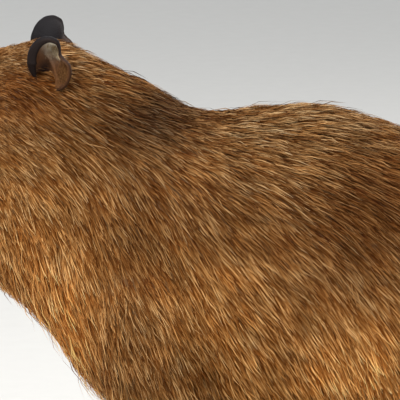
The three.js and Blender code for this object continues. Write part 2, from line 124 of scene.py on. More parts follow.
# A soft random field: a sum of sine waves of about one length, each in its own direction, times
# strength * sqrt(2 / waves).
def softNoise(points, wave, seed):
    draw, waves = np.random.default_rng(seed), noise["waves"]
    ways = unit(draw.normal(size=(waves, 3))) / (wave * draw.uniform(*noise["longer"], (waves, 1)))
    starts = draw.uniform(0, 2 * np.pi, waves)
    total = np.sin(2 * np.pi * points @ ways.T + starts).sum(1)
    return total * math.sqrt(2 / waves) * noise["strength"]


# Body
body = {
    # X and Z of the topline, X and Z of the underline, half width, waist, squareness
    "ribs": [
        (-383, 497, -382, 449, 25, 0.5, 2.5),
        (-375, 511, -377, 420, 41, 0.52, 2.8),
        (-352, 520, -362, 399, 48, 0.55, 2.9),
        (-318, 529, -338, 384, 52, 0.56, 2.8),
        (-262, 544, -300, 362, 63, 0.55, 2.6),
        (-208, 559, -262, 337, 77, 0.52, 2.5),
        (-148, 566, -224, 308, 88, 0.54, 2.3),
        (-74, 537, -176, 268, 99, 0.56, 2.1),
        (0, 499, -134, 216, 113, 0.55, 2.1),
        (62, 499, -90, 182, 127, 0.53, 2.1),
        (130, 501, -15, 163, 141, 0.55, 2.1),
        (200, 483, 68, 136, 153, 0.57, 2.1),
        (268, 454, 145, 103, 162, 0.58, 2.1),
        (330, 415, 212, 66, 165, 0.58, 2.1),
        (388, 362, 272, 30, 158, 0.58, 2.1),
        (432, 298, 330, -2, 140, 0.58, 2.1),
        (459, 222, 378, -7, 110, 0.58, 2.1),
        (468, 150, 420, 2, 72, 0.56, 2.1),
        (463, 95, 447, 48, 28, 0.5, 2),
    ],
    "coatFrom": 4.5,
    "coatFull": 6.5,
    "coatDepth": 7.0,
}
swellings = [  # a point of the left side, its reach each way, and how far it lifts
    ((-258, -50, 540), (26, 18, 12), 5),
    ((-226, -74, 455), (44, 40, 42), 6),
    ((-350, -44, 452), (24, 24, 22), 5),
    ((-376, -22, 500), (16, 14, 12), 4),
    ((-345, 0, 396), (18, 26, 12), 4),
    ((-352, -50, 412), (34, 20, 9), -3),
    ((-320, -40, 512), (40, 16, 16), -3),
    ((20, -100, 400), (60, 60, 80), 7),
    ((120, -150, 290), (90, 70, 90), 6),
    ((-120, -95, 380), (24, 60, 110), -7),
    ((-150, -85, 380), (26, 60, 34), -3),
    ((-96, -80, 446), (30, 60, 26), -4),
    ((-36, -60, 486), (34, 60, 20), -3),
    ((-162, -70, 526), (15, 18, 14), -6),
    ((-158, 0, 566), (42, 60, 24), 7),
    ((-112, -60, 196), (34, 60, 32), 9),
    ((385, -95, 235), (60, 42, 85), 18),
]
lastRib = len(body["ribs"]) - 1


# How far the swellings lift a point: the sum of lift * exp(-(offset / reach)^2) over them.
def swellingAt(points):
    total = np.zeros(points.shape[:-1])
    for centre, reach, lift in swellings:
        off = (onLeft(points) - centre) / reach
        total += lift * np.exp(-(off**2).sum(-1))
    return total


# The outline: across a rib from topline to underline runs a superellipse about the rib's waist,
# place counts ribs and turn goes round from the top to the left side.
def bodySurface(place, turn, sink=0.0):
    place, turn = np.broadcast_arrays(np.asarray(place, float), np.asarray(turn, float))
    rib = curveThrough(body["ribs"], place / lastRib)
    topX, topZ, lowX, lowZ, half, waist, boxy = np.moveaxis(rib, -1, 0)
    depth = np.hypot(lowX - topX, lowZ - topZ)
    downX, downZ = (lowX - topX) / depth, (lowZ - topZ) / depth
    under = sink * smoothStep(body["coatFrom"], body["coatFull"], place)
    level = depth * waist
    reach = np.where(np.cos(turn) > 0, level, depth - level) - under
    upShare = np.sign(np.cos(turn)) * np.abs(np.cos(turn)) ** (2 / boxy)
    sideShare = np.sign(np.sin(turn)) * np.abs(np.sin(turn)) ** (2 / boxy)
    centre = np.stack([topX + downX * level, np.zeros_like(level), topZ + downZ * level], -1)
    offset = np.stack([-downX * reach * upShare, -(half - under) * sideShare, -downZ * reach * upShare], -1)
    points = centre + offset
    return points + unit(offset) * swellingAt(points)[..., None]


# Limbs
limbs = {  # middle (x, y, z) and half sizes in the side view and across
    "frontLeg": [
        (-34, -84, 345, 44, 24),
        (-42, -98, 295, 64, 38),
        (-48, -104, 235, 57, 38),
        (-53, -104, 180, 44, 34),
        (-58, -101, 125, 32, 28),
        (-62, -99, 75, 26, 25),
        (-68, -98, 35, 28, 27),
        (-74, -98, 4, 26, 26),
    ],
    "thigh": [
        (454, -88, 163, 24, 20),
        (430, -98, 175, 74, 42),
        (380, -109, 186, 106, 56),
        (322, -120, 192, 113, 61),
        (268, -130, 192, 93, 55),
        (230, -135, 187, 62, 43),
        (208, -138, 180, 28, 26),
    ],
    "shank": [
        (240, -136, 170, 46, 38),
        (260, -136, 125, 53, 40),
        (290, -133, 84, 45, 34),
        (318, -130, 50, 31, 26),
        (332, -130, 26, 23, 21),
    ],
    "hindFoot": [
        (350, -130, 20, 12, 12),
        (334, -130, 21, 23, 22),
        (285, -132, 18, 21, 24),
        (232, -135, 16, 19, 28),
        (196, -138, 13, 16, 32),
    ],
}
paws = {
    "front": {
        "ball": (-90, -98, 13),
        "palm": (34, 31, 18),  # half sizes
        "spread": 17,  # degrees from toe to toe
        "reach": (34, 43, 45, 36),
        "thick": 10,
    },
    "hind": {"ball": (192, -139, 11), "palm": (30, 35, 16), "spread": 15, "reach": (44, 54, 46), "thick": 12},
}
toeSteps = [(0, 0, 0.9), (0.5, 3, 1.05), (0.85, -1, 1), (1, -3, 0.7)]  # share of the reach, rise, size


# A tube: ellipses square to a smooth path, each with its own two half sizes, less the sink.
def tube(stations, rings, around, side, sink=0.0, thinnest=0.5):
    stations = np.asarray(stations, float)
    share = np.linspace(0, 1, rings)
    step = 1e-3
    path, ahead, behind = (curveThrough(stations[:, :3], share + shift) for shift in (0, step, -step))
    along = unit(ahead - behind)
    across = unit(np.array([0, 1.0, 0]) - along * along[:, 1:2])
    deep = np.cross(along, across)
    half = np.maximum(curveThrough(stations[:, 3:], share) - sink, thinnest)[:, None]
    turn = onceRound(around)[:, None]
    outer = deep[:, None] * (half[..., :1] * np.cos(turn)) + across[:, None] * (half[..., 1:] * np.sin(turn))
    return onSide(path[:, None] + outer, side)


# A ball of rings from pole to pole, stretched to three half sizes.
def ballGrid(centre, radii, rings, around, side):
    tilt = np.linspace(skin["poleGap"], np.pi - skin["poleGap"], rings)[:, None]
    turn = onceRound(around)[None]
    ball = [np.sin(tilt) * np.cos(turn), np.sin(tilt) * np.sin(turn), np.cos(tilt) + 0 * turn]
    return onSide(np.asarray(centre, float) + np.stack(ball, -1) * radii, side)


# Middles and half sizes along a toe that leaves the ball by its share of the spread, and its way.
def toeStations(paw, toe):
    x, y, z = paw["ball"]
    lean = (toe - (len(paw["reach"]) - 1) / 2) * math.radians(paw["spread"])
    way = np.array([-math.cos(lean), math.sin(lean), 0])
    start = np.array([x, y + way[1] * paw["palm"][1], z])
    rows = []
    for along, rise, size in toeSteps:
        at = start + way * along * paw["reach"][toe] + [0, 0, rise]
        rows.append((*at, paw["thick"] * size, paw["thick"] * size))
    return np.array(rows), way


# Rings of points as a closed mesh: quads between rings and a fan over each end.
def ringFaces(rings, around, start=0):
    ring = np.arange(rings - 1)[:, None] * around
    step = np.arange(around)
    following = (step + 1) % around
    quads = np.stack([ring + step, ring + following, ring + around + following, ring + around + step], -1)
    faces = (quads.reshape(-1, 4) + start).tolist()
    tail = (rings - 1) * around
    for middle, first, second in ((0, following, step), (1, tail + step, tail + following)):
        fan = np.stack([np.full(around, rings * around + middle), first, second], -1)
        faces += (fan + start).tolist()
    return faces


# Several grids of rings, in mm, as one mesh, each with the middles of its end rings added.
def closedRings(grids):
    points, faces, start = [], [], 0
    for grid in map(toFrame, grids):
        rings, around = grid.shape[:2]
        points.append(np.vstack([grid.reshape(-1, 3), grid[0].mean(0), grid[-1].mean(0)]))
        faces += ringFaces(rings, around, start)
        start += rings * around + 2
    return np.vstack(points), faces


# Turns every face of a mesh outwards.
def outward(mesh):
    work = bmesh.new()
    work.from_mesh(mesh)
    bmesh.ops.recalc_face_normals(work, faces=work.faces)
    work.to_mesh(mesh)
    work.free()


# Puts a mesh, light or camera into the scene as an object.
def addObject(name, data, material=None):
    if material:
        data.materials.append(material)
    thing = bpy.data.objects.new(name, data)
    bpy.context.collection.objects.link(thing)
    return thing


# A smooth closed mesh over grids of rings, as a piece of the animal's one body.
def addPiece(name, grids, material, lowest=-1.0):
    points, faces = closedRings(grids)
    points[:, 2] = np.maximum(points[:, 2], lowest)
    mesh = bpy.data.meshes.new(name)
    mesh.from_pydata(points.tolist(), [], faces)
    outward(mesh)
    mesh.shade_smooth()
    piece = addObject(name, mesh, material)
    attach(piece, "root")
    return piece


# Materials


# A hex colour turned linear: x / 12.92 near black, and ((x + 0.055) / 1.055)^2.4 above.
def linearColour(code):
    srgb = np.array([int(code[k : k + 2], 16) / 255 for k in (1, 3, 5)])
    return np.where(srgb <= 0.04045, srgb / 12.92, ((srgb + 0.055) / 1.055) ** 2.4)


# Puts values on a node's sockets, or links them to it; a socket is known by number or by name.
def setSockets(node, sockets):
    for key, value in sockets.items():
        socket = node.inputs[key.replace("_", " ") if isinstance(key, str) else key]
        if isinstance(value, bpy.types.NodeSocket):
            node.id_data.links.new(value, socket)
        else:
            socket.default_value = value


# A material of one shader, with plain values on the shader's own sockets.
def newMaterial(name, **sockets):
    material = bpy.data.materials.new(name)
    material.use_nodes = True
    shader = material.node_tree.nodes["Principled BSDF"]
    setSockets(shader, sockets)
    return material, material.node_tree, shader


# Adds a node with its settings, fills its sockets, the first ones in order and others by name, and
# gives back one of its outputs.
def addNode(tree, kind, output, settings=None, *first, **named):
    node = tree.nodes.new(kind)
    for key, value in (settings or {}).items():
        setattr(node, key, value)
    setSockets(node, {**dict(enumerate(first)), **named})
    return node.outputs[output]


# Gives the two ends of a ramp their places and colours.
def setRamp(ramp, *stops):
    for element, (position, code) in zip(ramp.node.color_ramp.elements, stops):
        element.position = position
        element.color = (*linearColour(code), 1)


# Guard hair of a wild coat: coarse, dull keratin, so the shine is low and broad and its colour, dark
# at the root and bleached at the tip, reads as grizzled gold over brown; the dark root and the darker
# under layer are also painted shade deep in the coat. Its flecks are about a mm long, far coarser than
# real ones, so that they show.
def makeCoatMaterial():
    material, tree, shader = newMaterial("CoarseGuardHair", Roughness=0.6, IOR=1.45, Specular_IOR_Level=0.04)
    place = addNode(tree, "ShaderNodeTexCoord", "Object")
    fleck = addNode(tree, "ShaderNodeTexNoise", "Fac", None, Vector=place, Scale=900.0)
    tone = addNode(tree, "ShaderNodeMapRange", "Result", None, Value=fleck, To_Min=0.82, To_Max=1.18)
    colour = addNode(tree, "ShaderNodeAttribute", "Color", {"attribute_name": "coatColour"})
    flecked = addNode(tree, "ShaderNodeVectorMath", "Vector", {"operation": "SCALE"}, colour, Scale=tone)
    setSockets(shader, {"Base Color": flecked})
    return material


# Skin in its marked colours, with a grain of fine wrinkles that keeps its light soft and dull. The
# scale is for each metre: 420 gives wrinkles 2.4 mm apart, and 700 gives 1.4 mm.
def makeSkinMaterial(name, roughness, scale, depth):
    material, tree, shader = newMaterial(name, Roughness=roughness, IOR=1.45, Specular_IOR_Level=0.2)
    place = addNode(tree, "ShaderNodeTexCoord", "Object")
    smooth = {"feature": "SMOOTH_F1"}
    grain = addNode(tree, "ShaderNodeTexVoronoi", "Distance", smooth, Vector=place, Scale=scale)
    wrinkle = addNode(tree, "ShaderNodeTexNoise", "Fac", None, Vector=place, Scale=scale, Detail=4.0)
    height = addNode(tree, "ShaderNodeMath", "Value", {"operation": "ADD"}, grain, wrinkle)
    bump = addNode(tree, "ShaderNodeBump", "Normal", None, Strength=0.5, Distance=depth, Height=height)
    colour = addNode(tree, "ShaderNodeAttribute", "Color", {"attribute_name": "coatColour"})
    setSockets(shader, {"Base Color": colour, "Normal": bump})
    return material


coatMaterial = makeCoatMaterial()
skinMaterial = makeSkinMaterial("WrinkledHide", roughness=0.6, scale=420.0, depth=0.0011)
earMaterial = makeSkinMaterial("ThinEarSkin", roughness=0.68, scale=700.0, depth=0.0006)

# Skin
skin = {
    "voxel": 0.005,
    "trunkGrid": (230, 128),  # rings, and points in each
    "limbGrids": {"frontLeg": (70, 40), "thigh": (60, 56), "shank": (40, 40), "hindFoot": (36, 32)},
    "limbSink": {"frontLeg": 2, "thigh": 5, "shank": 3, "hindFoot": 1},  # how deep their coat is
    "palmGrid": (18, 28),
    "toeGrid": (16, 16),
    "poleGap": 0.12,
    "blendSteps": 21,
    "blend": (0.5, 0.1),  # how fast it evens out, in general and where its form is kept
    "keeps": [(0, -150, -230), (2, 60, 25)],  # axis, and from where to where the form is kept: face and paws
    "overFloor": 0.0004,
}
frontLegKinds = ["frontLeg", "frontPaw", "frontToe"]
hindLegKinds = ["thigh", "shank", "hindFoot", "hindPaw", "hindToe"]
footKinds = ["frontPaw", "frontToe", "hindPaw", "hindToe"]


# The closed parts that the skin is grown over, as pairs of kind and grid.
def skinParts():
    rings, around = skin["trunkGrid"]
    place = np.linspace(0, lastRib, rings)[:, None]
    parts = [("trunk", bodySurface(place, onceRound(around)[None], body["coatDepth"]))]
    for side in animal["sides"].values():
        for name, grid in skin["limbGrids"].items():
            parts.append((name, tube(limbs[name], *grid, side, skin["limbSink"][name])))
        for pawName, paw in paws.items():
            parts.append((pawName + "Paw", ballGrid(paw["ball"], paw["palm"], *skin["palmGrid"], side)))
            for toe in range(len(paw["reach"])):
                parts.append((pawName + "Toe", tube(toeStations(paw, toe)[0], *skin["toeGrid"], side)))
    return parts


# Places and normals of a mesh's points.
def meshArrays(mesh):
    points = np.empty(len(mesh.vertices) * 3)
    mesh.vertices.foreach_get("co", points)
    normals = np.empty(len(mesh.vertices) * 3)
    mesh.vertex_normals.foreach_get("vector", normals)
    return points.reshape(-1, 3), normals.reshape(-1, 3)


# Puts a mesh's points at new places.
def movePoints(mesh, points):
    mesh.vertices.foreach_set("co", points.ravel())
    mesh.update()


# From each point to the nearest spot of a line, straight.
def nearestDistance(points, line):
    best = np.full(len(points), np.inf)
    for spot in line:
        best = np.minimum(best, lengths(points - spot))
    return best


# Evens a mesh out: each point goes part of the way to the mean of its neighbours, step by step.
def relax(mesh, points, weight, steps):
    edges = np.empty(len(mesh.edges) * 2, int)
    mesh.edges.foreach_get("vertices", edges)
    ends = edges.reshape(-1, 2)
    count = np.bincount(edges, minlength=len(points))[:, None]
    for _ in range(steps):
        total = np.zeros_like(points)
        for k in range(3):
            total[:, k] = np.bincount(ends[:, 0], points[ends[:, 1], k], len(points))
            total[:, k] += np.bincount(ends[:, 1], points[ends[:, 0], k], len(points))
        points = points + weight * (total / count - points)
    return points


# Halves every edge between two points that lie inside, and cuts larger faces into triangles.
def cutFiner(mesh, inside):
    points, _ = meshArrays(mesh)
    marked = inside(points)
    work = bmesh.new()
    work.from_mesh(mesh)
    work.verts.ensure_lookup_table()
    edges = [edge for edge in work.edges if marked[edge.verts[0].index] and marked[edge.verts[1].index]]
    bmesh.ops.subdivide_edges(work, edges=edges, cuts=1, use_grid_fill=True, smooth=0.0)
    bmesh.ops.triangulate(work, faces=[face for face in work.faces if len(face.verts) > 4])
    work.to_mesh(mesh)
    work.free()


# One surface over all the parts, of even voxels, evened out except where it keeps its form.
def growSkin():
    piece = addPiece("skin", [grid for _, grid in parts], None)
    remesh = piece.modifiers.new("evenGrid", "REMESH")
    remesh.mode = "VOXEL"
    remesh.voxel_size = skin["voxel"]
    remesh.use_smooth_shade = True
    evaluated = piece.evaluated_get(bpy.context.evaluated_depsgraph_get())
    mesh = bpy.data.meshes.new_from_object(evaluated)
    piece.modifiers.clear()
    piece.data = mesh
    mesh.materials.append(skinMaterial)
    points, _ = meshArrays(mesh)
    spots = inMm(points)
    keepsForm = np.max([smoothStep(low, high, spots[:, axis]) for axis, low, high in skin["keeps"]], 0)
    points = relax(mesh, points, mix(*skin["blend"], keepsForm[:, None]), skin["blendSteps"])
    points[:, 2] = np.maximum(points[:, 2], skin["overFloor"])
    movePoints(mesh, points)
    print("skin remeshed:", len(mesh.polygons), "faces")
    return piece, mesh


parts = skinParts()
skinPiece, skinMesh = growSkin()

# Grooves between the toes
toeGap = {
    "deep": 9.0,
    "narrow": 3.8,
    "pawReach": 58,
    "starts": (-0.4, 0.4),  # these three in lengths of the line, from its first end
    "ends": (2.0, 2.6),
    "movesBack": (0.5, 1.3),
    "sinks": (1, 7),  # these in mm over the floor
    "under": 40,
    "overFloor": 1.0,
}


# Between each two toes the skin sinks along the line halfway from one to the other, down and back by
# deep * exp(-(distance / narrow)^2), from the knuckles to past the tips.
def partToes():
    balls = [onSide(paw["ball"], side) for paw in paws.values() for side in animal["sides"].values()]
    cutFiner(skinMesh, lambda points: nearestDistance(inMm(points), balls) < toeGap["pawReach"])
    spots = inMm(meshArrays(skinMesh)[0])
    for paw in paws.values():
        lines = [toeStations(paw, toe)[0][[1, -1], :2] for toe in range(len(paw["reach"]))]
        for side in animal["sides"].values():
            for gap in np.add(lines[:-1], lines[1:]) / 2 * [1, -side]:
                length = np.linalg.norm(gap[1] - gap[0])
                ahead = (gap[1] - gap[0]) / length
                off = spots[:, :2] - gap[0]
                along, across = off @ ahead / length, off @ [ahead[1], -ahead[0]]
                share = bell(across, 0, toeGap["narrow"]) * smoothStep(*toeGap["starts"], along)
                share = share * (1 - smoothStep(*toeGap["ends"], along)) * (spots[:, 2] < toeGap["under"])
                share = share * toeGap["deep"]
                spots[:, :2] -= ahead * (share * smoothStep(*toeGap["movesBack"], along))[:, None]
                lowest = np.minimum(spots[:, 2], toeGap["overFloor"])
                sunk = spots[:, 2] - share * smoothStep(*toeGap["sinks"], spots[:, 2])
                spots[:, 2] = np.maximum(sunk, lowest)
    movePoints(skinMesh, toFrame(spots))


# Head
head = {
    "eye": {
        "centre": (-263, -43, 516),
        "radius": 12.5,
        "opening": (11.0, 7.4),  # half sizes
        "tilt": 10,
        "out": (-0.2, -0.93, 0.3),
        "reach": 34,  # how far round it the lids move skin, and how far in
        "front": -4,
    },
    "lids": {
        "thick": 1.4,
        "ends": (1.25, 2.3),  # as shares of the opening, like the next three
        "hole": (0.9, 1.02),
        "crease": (1.75, 0.16),
        "margin": (1.12, 0.12),
        "creaseLift": -1.5,
        "creaseAbove": (-3, 4),
        "marginLift": 1.1,
        "behind": 6.5,
    },
    "nostril": {
        "centre": (-381, -19, 491),
        "half": (7.5, 4.2),
        "deep": 8.0,
        "tilt": 25,
        "slant": 0.1,
        "inward": (1.0, 0.3, -0.1),
        "slope": (0.45, 1.1),  # in shares of the half sizes, like the rim
        "rim": (1.4, 0.35),
        "rimLift": 1.8,
        "reach": 22,
    },
    "mouth": [(3.25, 124), (2.6, 132), (1.9, 140), (1.2, 151), (0.78, 165), (0.7, 180)],
    "lipGroove": (3.4, 1.9),  # depth and half width
    "faceTo": -180,
    "fineTo": -205,
    "finest": {"mouth": 9, "eye": 24, "nostril": 16},  # how far round each the mesh is finest
}


# The line of the mouth, from places and turns on the outline.
def mouthPoints():
    placed = curveThrough(head["mouth"], np.linspace(0, 1, 90))
    line = bodySurface(placed[:, 0], np.radians(placed[:, 1]))
    return np.vstack([line, line * [1, -1, 1]])


mouthLine = mouthPoints()


# Three ways square to each other at an eye: along its opening, up it and out of it.
def eyeAxes(side):
    out = unit(onSide(head["eye"]["out"], side))
    tilt = math.radians(head["eye"]["tilt"])
    along = np.array([math.cos(tilt), 0, math.sin(tilt)])
    along = unit(along - out * (along @ out))
    up = np.cross(along, out)
    return along, up if up[2] > 0 else -up, out


# How far out of the eye's opening points lie, 1 on its edge, and how far from its middle in mm.
def eyeRing(spots, side):
    along, up, _ = eyeAxes(side)
    off = spots - onSide(head["eye"]["centre"], side)
    return np.hypot(off @ along / head["eye"]["opening"][0], off @ up / head["eye"]["opening"][1]), off


# Lids: inside an oval opening the skin drops behind the eyeball, round it the skin lies just over the
# ball, and further out it returns to the face, with a crease above.
def shapeLids(points, side):
    eye, lids = head["eye"], head["lids"]
    along, up, out = eyeAxes(side)
    ring, off = eyeRing(points, side)
    u, v, w = off @ along, off @ up, off @ out
    overBall = np.sqrt(np.maximum(eye["radius"] ** 2 - u**2 - v**2, 0)) + lids["thick"]
    crease = lids["creaseLift"] * bell(ring, *lids["crease"]) * smoothStep(*lids["creaseAbove"], v)
    margin = lids["marginLift"] * bell(ring, *lids["margin"])
    target = w + (overBall - w) * (1 - smoothStep(*lids["ends"], ring)) + crease + margin
    hole = 1 - smoothStep(*lids["hole"], ring)
    target = mix(target, overBall - lids["behind"], hole)
    near = (lengths(off) < eye["reach"]) & (w > eye["front"])
    return points + out * np.where(near, target - w, 0)[:, None]


# A nostril: a slanting slit that sinks into the muzzle, with a raised rim.
def shapeNostril(points, side):
    nostril = head["nostril"]
    inward = unit(onSide(nostril["inward"], side))
    tilt = math.radians(nostril["tilt"])
    slit = unit(np.array([nostril["slant"], side * math.cos(tilt), math.sin(tilt)]))
    across = np.cross(inward, slit)
    off = points - onSide(nostril["centre"], side)
    ring = np.hypot((off @ slit) / nostril["half"][0], (off @ across) / nostril["half"][1])
    near = lengths(off) < nostril["reach"]
    push = nostril["deep"] * (1 - smoothStep(*nostril["slope"], ring))
    push = push - nostril["rimLift"] * bell(ring, *nostril["rim"])
    return points + inward * (push * near)[:, None]


# Points close to the mouth, the eyes or the nostrils.
def aroundFeatures(points):
    spots = inMm(points)
    near = nearestDistance(spots, mouthLine[::4]) < head["finest"]["mouth"]
    for side in animal["sides"].values():
        for name in ("eye", "nostril"):
            off = spots - onSide(head[name]["centre"], side)
            near |= lengths(off) < head["finest"][name]
    return near


# The face, finer: a groove deep * exp(-(distance / half)^2) along the mouth, then nostrils and lids.
def shapeHead():
    cutFiner(skinMesh, lambda points: inMm(points)[:, 0] < head["fineTo"])
    cutFiner(skinMesh, aroundFeatures)
    points, normals = meshArrays(skinMesh)
    spots = inMm(points)
    face = spots[:, 0] < head["faceTo"]
    deep, half = head["lipGroove"]
    groove = deep * bell(nearestDistance(spots[face], mouthLine), 0, half)
    shaped = spots[face] - normals[face] * groove[:, None]
    for side in animal["sides"].values():
        shaped = shapeNostril(shapeLids(shaped, side), side)
    spots[face] = shaped
    movePoints(skinMesh, toFrame(spots))
    outward(skinMesh)
    skinMesh.shade_smooth()
    print("head shaped:", len(skinMesh.polygons), "faces")


partToes()
shapeHead()
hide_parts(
    "head", "neck", "torso", "front_leg_left", "front_leg_right", "hind_leg_left", "hind_leg_right"
)

# Markings and painted light: a base colour times soft tints, mottled by random fields. Some tints are painted
# light and shade, as marked below.
markingsAndPaintedLight = {
    "base": "#8c6034",
    "tintsAndPaintedLight": [  # middle and reach in the side view, and what each tint multiplies red, green and blue by
        # painted rim light on the chest and throat: the next three tints
        ((-200, 335), (75, 85), (1.95, 1.95, 1.85)),
        ((-145, 270), (36, 75), (2.2, 2.2, 2.1)),
        ((-128, 200), (40, 36), (1.4, 1.45, 1.5)),
        ((-165, 440), (34, 26), (1.15, 1.15, 1.15)),
        ((10, 320), (60, 60), (1.7, 1.66, 1.5)),
        # painted shade in a hollow of the flank
        ((30, 410), (36, 34), (0.78, 0.76, 0.72)),
        # lighter lower flank and belly, partly their paler hair and partly painted light: the next two tints
        ((166, 258), (62, 58), (2.4, 2.35, 2.1)),
        ((55, 215), (60, 50), (1.5, 1.42, 1.2)),
        # painted light from above on the top of the back
        ((90, 488), (90, 30), (1.12, 1.26, 1.45)),
        # darker hair and painted shade in the crease between neck and shoulder
        ((-65, 498), (68, 32), (0.33, 0.33, 0.39)),
        ((-60, 385), (56, 46), (0.74, 0.69, 0.62)),
        # painted shade in a hollow of the upper flank
        ((165, 415), (62, 60), (0.5, 0.4, 0.3)),
        ((-190, 522), (46, 28), (0.68, 0.54, 0.42)),
        # painted light from above on the crown
        ((-160, 562), (60, 14), (1.15, 1.3, 1.6)),
        ((-380, 465), (40, 50), (0.5, 0.45, 0.5)),
        ((-300, 440), (50, 60), (0.95, 0.85, 0.75)),
        ((-95, 20), (90, 60), (0.5, 0.45, 0.5)),
        ((240, 15), (160, 40), (0.5, 0.45, 0.5)),
        ((400, 260), (90, 110), (0.85, 0.78, 0.7)),
    ],
    "mottle": [(46, 0.06, 3), (17, 0.07, 4), (7, 0.1, 5)],  # wave in mm, share, seed
    "darkest": 0.4,
    "hue": (26, 6, (0.05, -0.01, -0.1)),  # wave in mm, seed, and how far it turns each colour
}


# The base colour times 1 + (tint - 1) * exp(-(offset / reach)^2) for each tint, mottled by noise.
def coatColourAt(spots):
    colour = np.tile(linearColour(markingsAndPaintedLight["base"]), (len(spots), 1))
    for middle, reach, tint in markingsAndPaintedLight["tintsAndPaintedLight"]:
        off = (spots[:, [0, 2]] - middle) / reach
        colour = colour * (1 + (np.array(tint) - 1) * np.exp(-(off**2).sum(-1))[:, None])
    mottle = 1 + sum(share * softNoise(spots, wave, seed) for wave, share, seed in markingsAndPaintedLight["mottle"])
    wave, seed, turns = markingsAndPaintedLight["hue"]
    hue = 1 + np.outer(softNoise(spots, wave, seed), turns)
    return colour * np.maximum(mottle, markingsAndPaintedLight["darkest"])[:, None] * hue


# Bare skin, nearly black: the nose pad, lids and soles, and the rims of the nostrils and lips.
bare = {
    "colour": "#241a17",
    "lip": (1.7, 4.0),
    "lid": (1.2, 1.45),
    "lidReach": 26,
    "nostril": (10, 15),
    "nose": ((-386, 0, 476), (9, 21, 18)),
    "noseEdge": (0.85, 1.2),
    "cleft": (0.6, 2.0),  # half width of the cleft under the nose
    "cleftPlace": (-350, 428, 466),  # where it ends behind, below and above
    "sole": (2, 5),
    "hairless": (0.2, 0.7),
    "underCoat": 0.5,
}


# How bare the skin is: the most of several shares, each 1 near its feature and 0 further off.
def bareShare(spots):
    shares = [1 - smoothStep(*bare["lip"], nearestDistance(spots, mouthLine[::3]))]
    for side in animal["sides"].values():
        ring, off = eyeRing(spots, side)
        shares.append((lengths(off) < bare["lidReach"]) * (1 - smoothStep(*bare["lid"], ring)))
        fromNostril = lengths(spots - onSide(head["nostril"]["centre"], side))
        shares.append(1 - smoothStep(*bare["nostril"], fromNostril))
    middle, reach = bare["nose"]
    shares.append(1 - smoothStep(*bare["noseEdge"], lengths((spots - middle) / reach)))
    behind, low, high = bare["cleftPlace"]
    cleft = (spots[:, 0] < behind) & (spots[:, 2] > low) & (spots[:, 2] < high)
    shares.append(cleft * (1 - smoothStep(*bare["cleft"], np.abs(spots[:, 1]))))
    shares.append(1 - smoothStep(*bare["sole"], spots[:, 2]))
    return np.max(shares, 0)


# Gives a mesh's points their colours under a name.
def setColour(mesh, name, colours):
    layer = mesh.color_attributes.new(name, "FLOAT_COLOR", "POINT")
    rgba = np.ones((len(colours), 4))
    rgba[:, :3] = np.clip(colours, 0, 1)
    layer.data.foreach_set("color", rgba.ravel())


# The same for a closed grid of rings, whose end points take the colours next to them.
def setGridColour(mesh, name, colours):
    colours = colours.reshape(-1, 3)
    setColour(mesh, name, np.vstack([colours, colours[:1], colours[-1:]]))


# The nearest of the spots to each point, by the least of |spot|^2 - 2 * point . spot.
def nearestSpots(points, spots, chunk=1024):
    points, spots = np.float32(points), np.float32(spots)
    size = (spots**2).sum(1)
    found = np.empty(len(points), int)
    for start in range(0, len(points), chunk):
        found[start : start + chunk] = (size - 2 * points[start : start + chunk] @ spots.T).argmin(1)
    return found


# Where each point of the skin lies on the parts it was grown from: from the nearest point of their
# grids a step along each of the grid's two axes, by the offset's share of that axis, up to furthest.
def readParts(points, furthest=0.6):
    kinds, spots, axes, places = [], [], [], []
    for kind, grid in parts:
        coarse = toFrame(grid)[::2, ::2]
        rings, steps = coarse.shape[:2]
        onward = np.gradient(coarse, axis=0)
        sideways = (np.roll(coarse, -1, 1) - np.roll(coarse, 1, 1)) / 2
        kinds.append(np.full(rings * steps, kind))
        spots.append(coarse.reshape(-1, 3))
        axes.append(np.stack([onward, sideways], 2).reshape(-1, 2, 3))
        ring, step = np.meshgrid(np.arange(rings), np.arange(steps), indexing="ij")
        sizes = np.broadcast_to([rings - 0.5, steps], (rings * steps, 2))  # the last ring is half a step on
        places.append(np.hstack([np.stack([ring, step], -1).reshape(-1, 2), sizes]))
    kinds, spots, axes, places = (np.concatenate(part) for part in (kinds, spots, axes, places))
    found = nearestSpots(points, spots)
    axis = axes[found]
    shift = np.einsum("ni,nki->nk", points - spots[found], axis) / np.maximum((axis**2).sum(-1), 1e-12)
    place = (places[found, :2] + np.clip(shift, -furthest, furthest)) / places[found, 2:]
    return kinds[found], np.clip(place[:, 0], 0, 1), place[:, 1] % 1


# The lie of the coat
lie = {
    "most": 74,  # how far it turns down, in degrees, and the depth that turns it two thirds of that
    "depth": 150,
    "slope": (0.22, 15),  # the share of the topline's slope that is kept, and how deep the rest goes
    "turns": [  # X and Z of a middle, reach each way, degrees more
        (-215, 370, 85, 90, 24),
        (-80, 425, 45, 35, 10),
        (8, 400, 55, 55, 12),
        (-189, 520, 40, 30, 22),
    ],
    "face": (-215, -275),
    "faceTurn": (-14, 34 / 130),  # degrees at the topline, and more for each mm under it
    "range": (-25, 100),
    "limbs": [  # kinds, share, height at which it starts and is full, and the way there
        (frontLegKinds, 1, (230, 150), (0.12, 0, -1.0)),
        (hindLegKinds[:2], 1, (190, 110), (0.5, 0, -1.0)),
        (footKinds + ["hindFoot"], 0.9, (500, 400), (-1.0, 0, -0.25)),
    ],
}


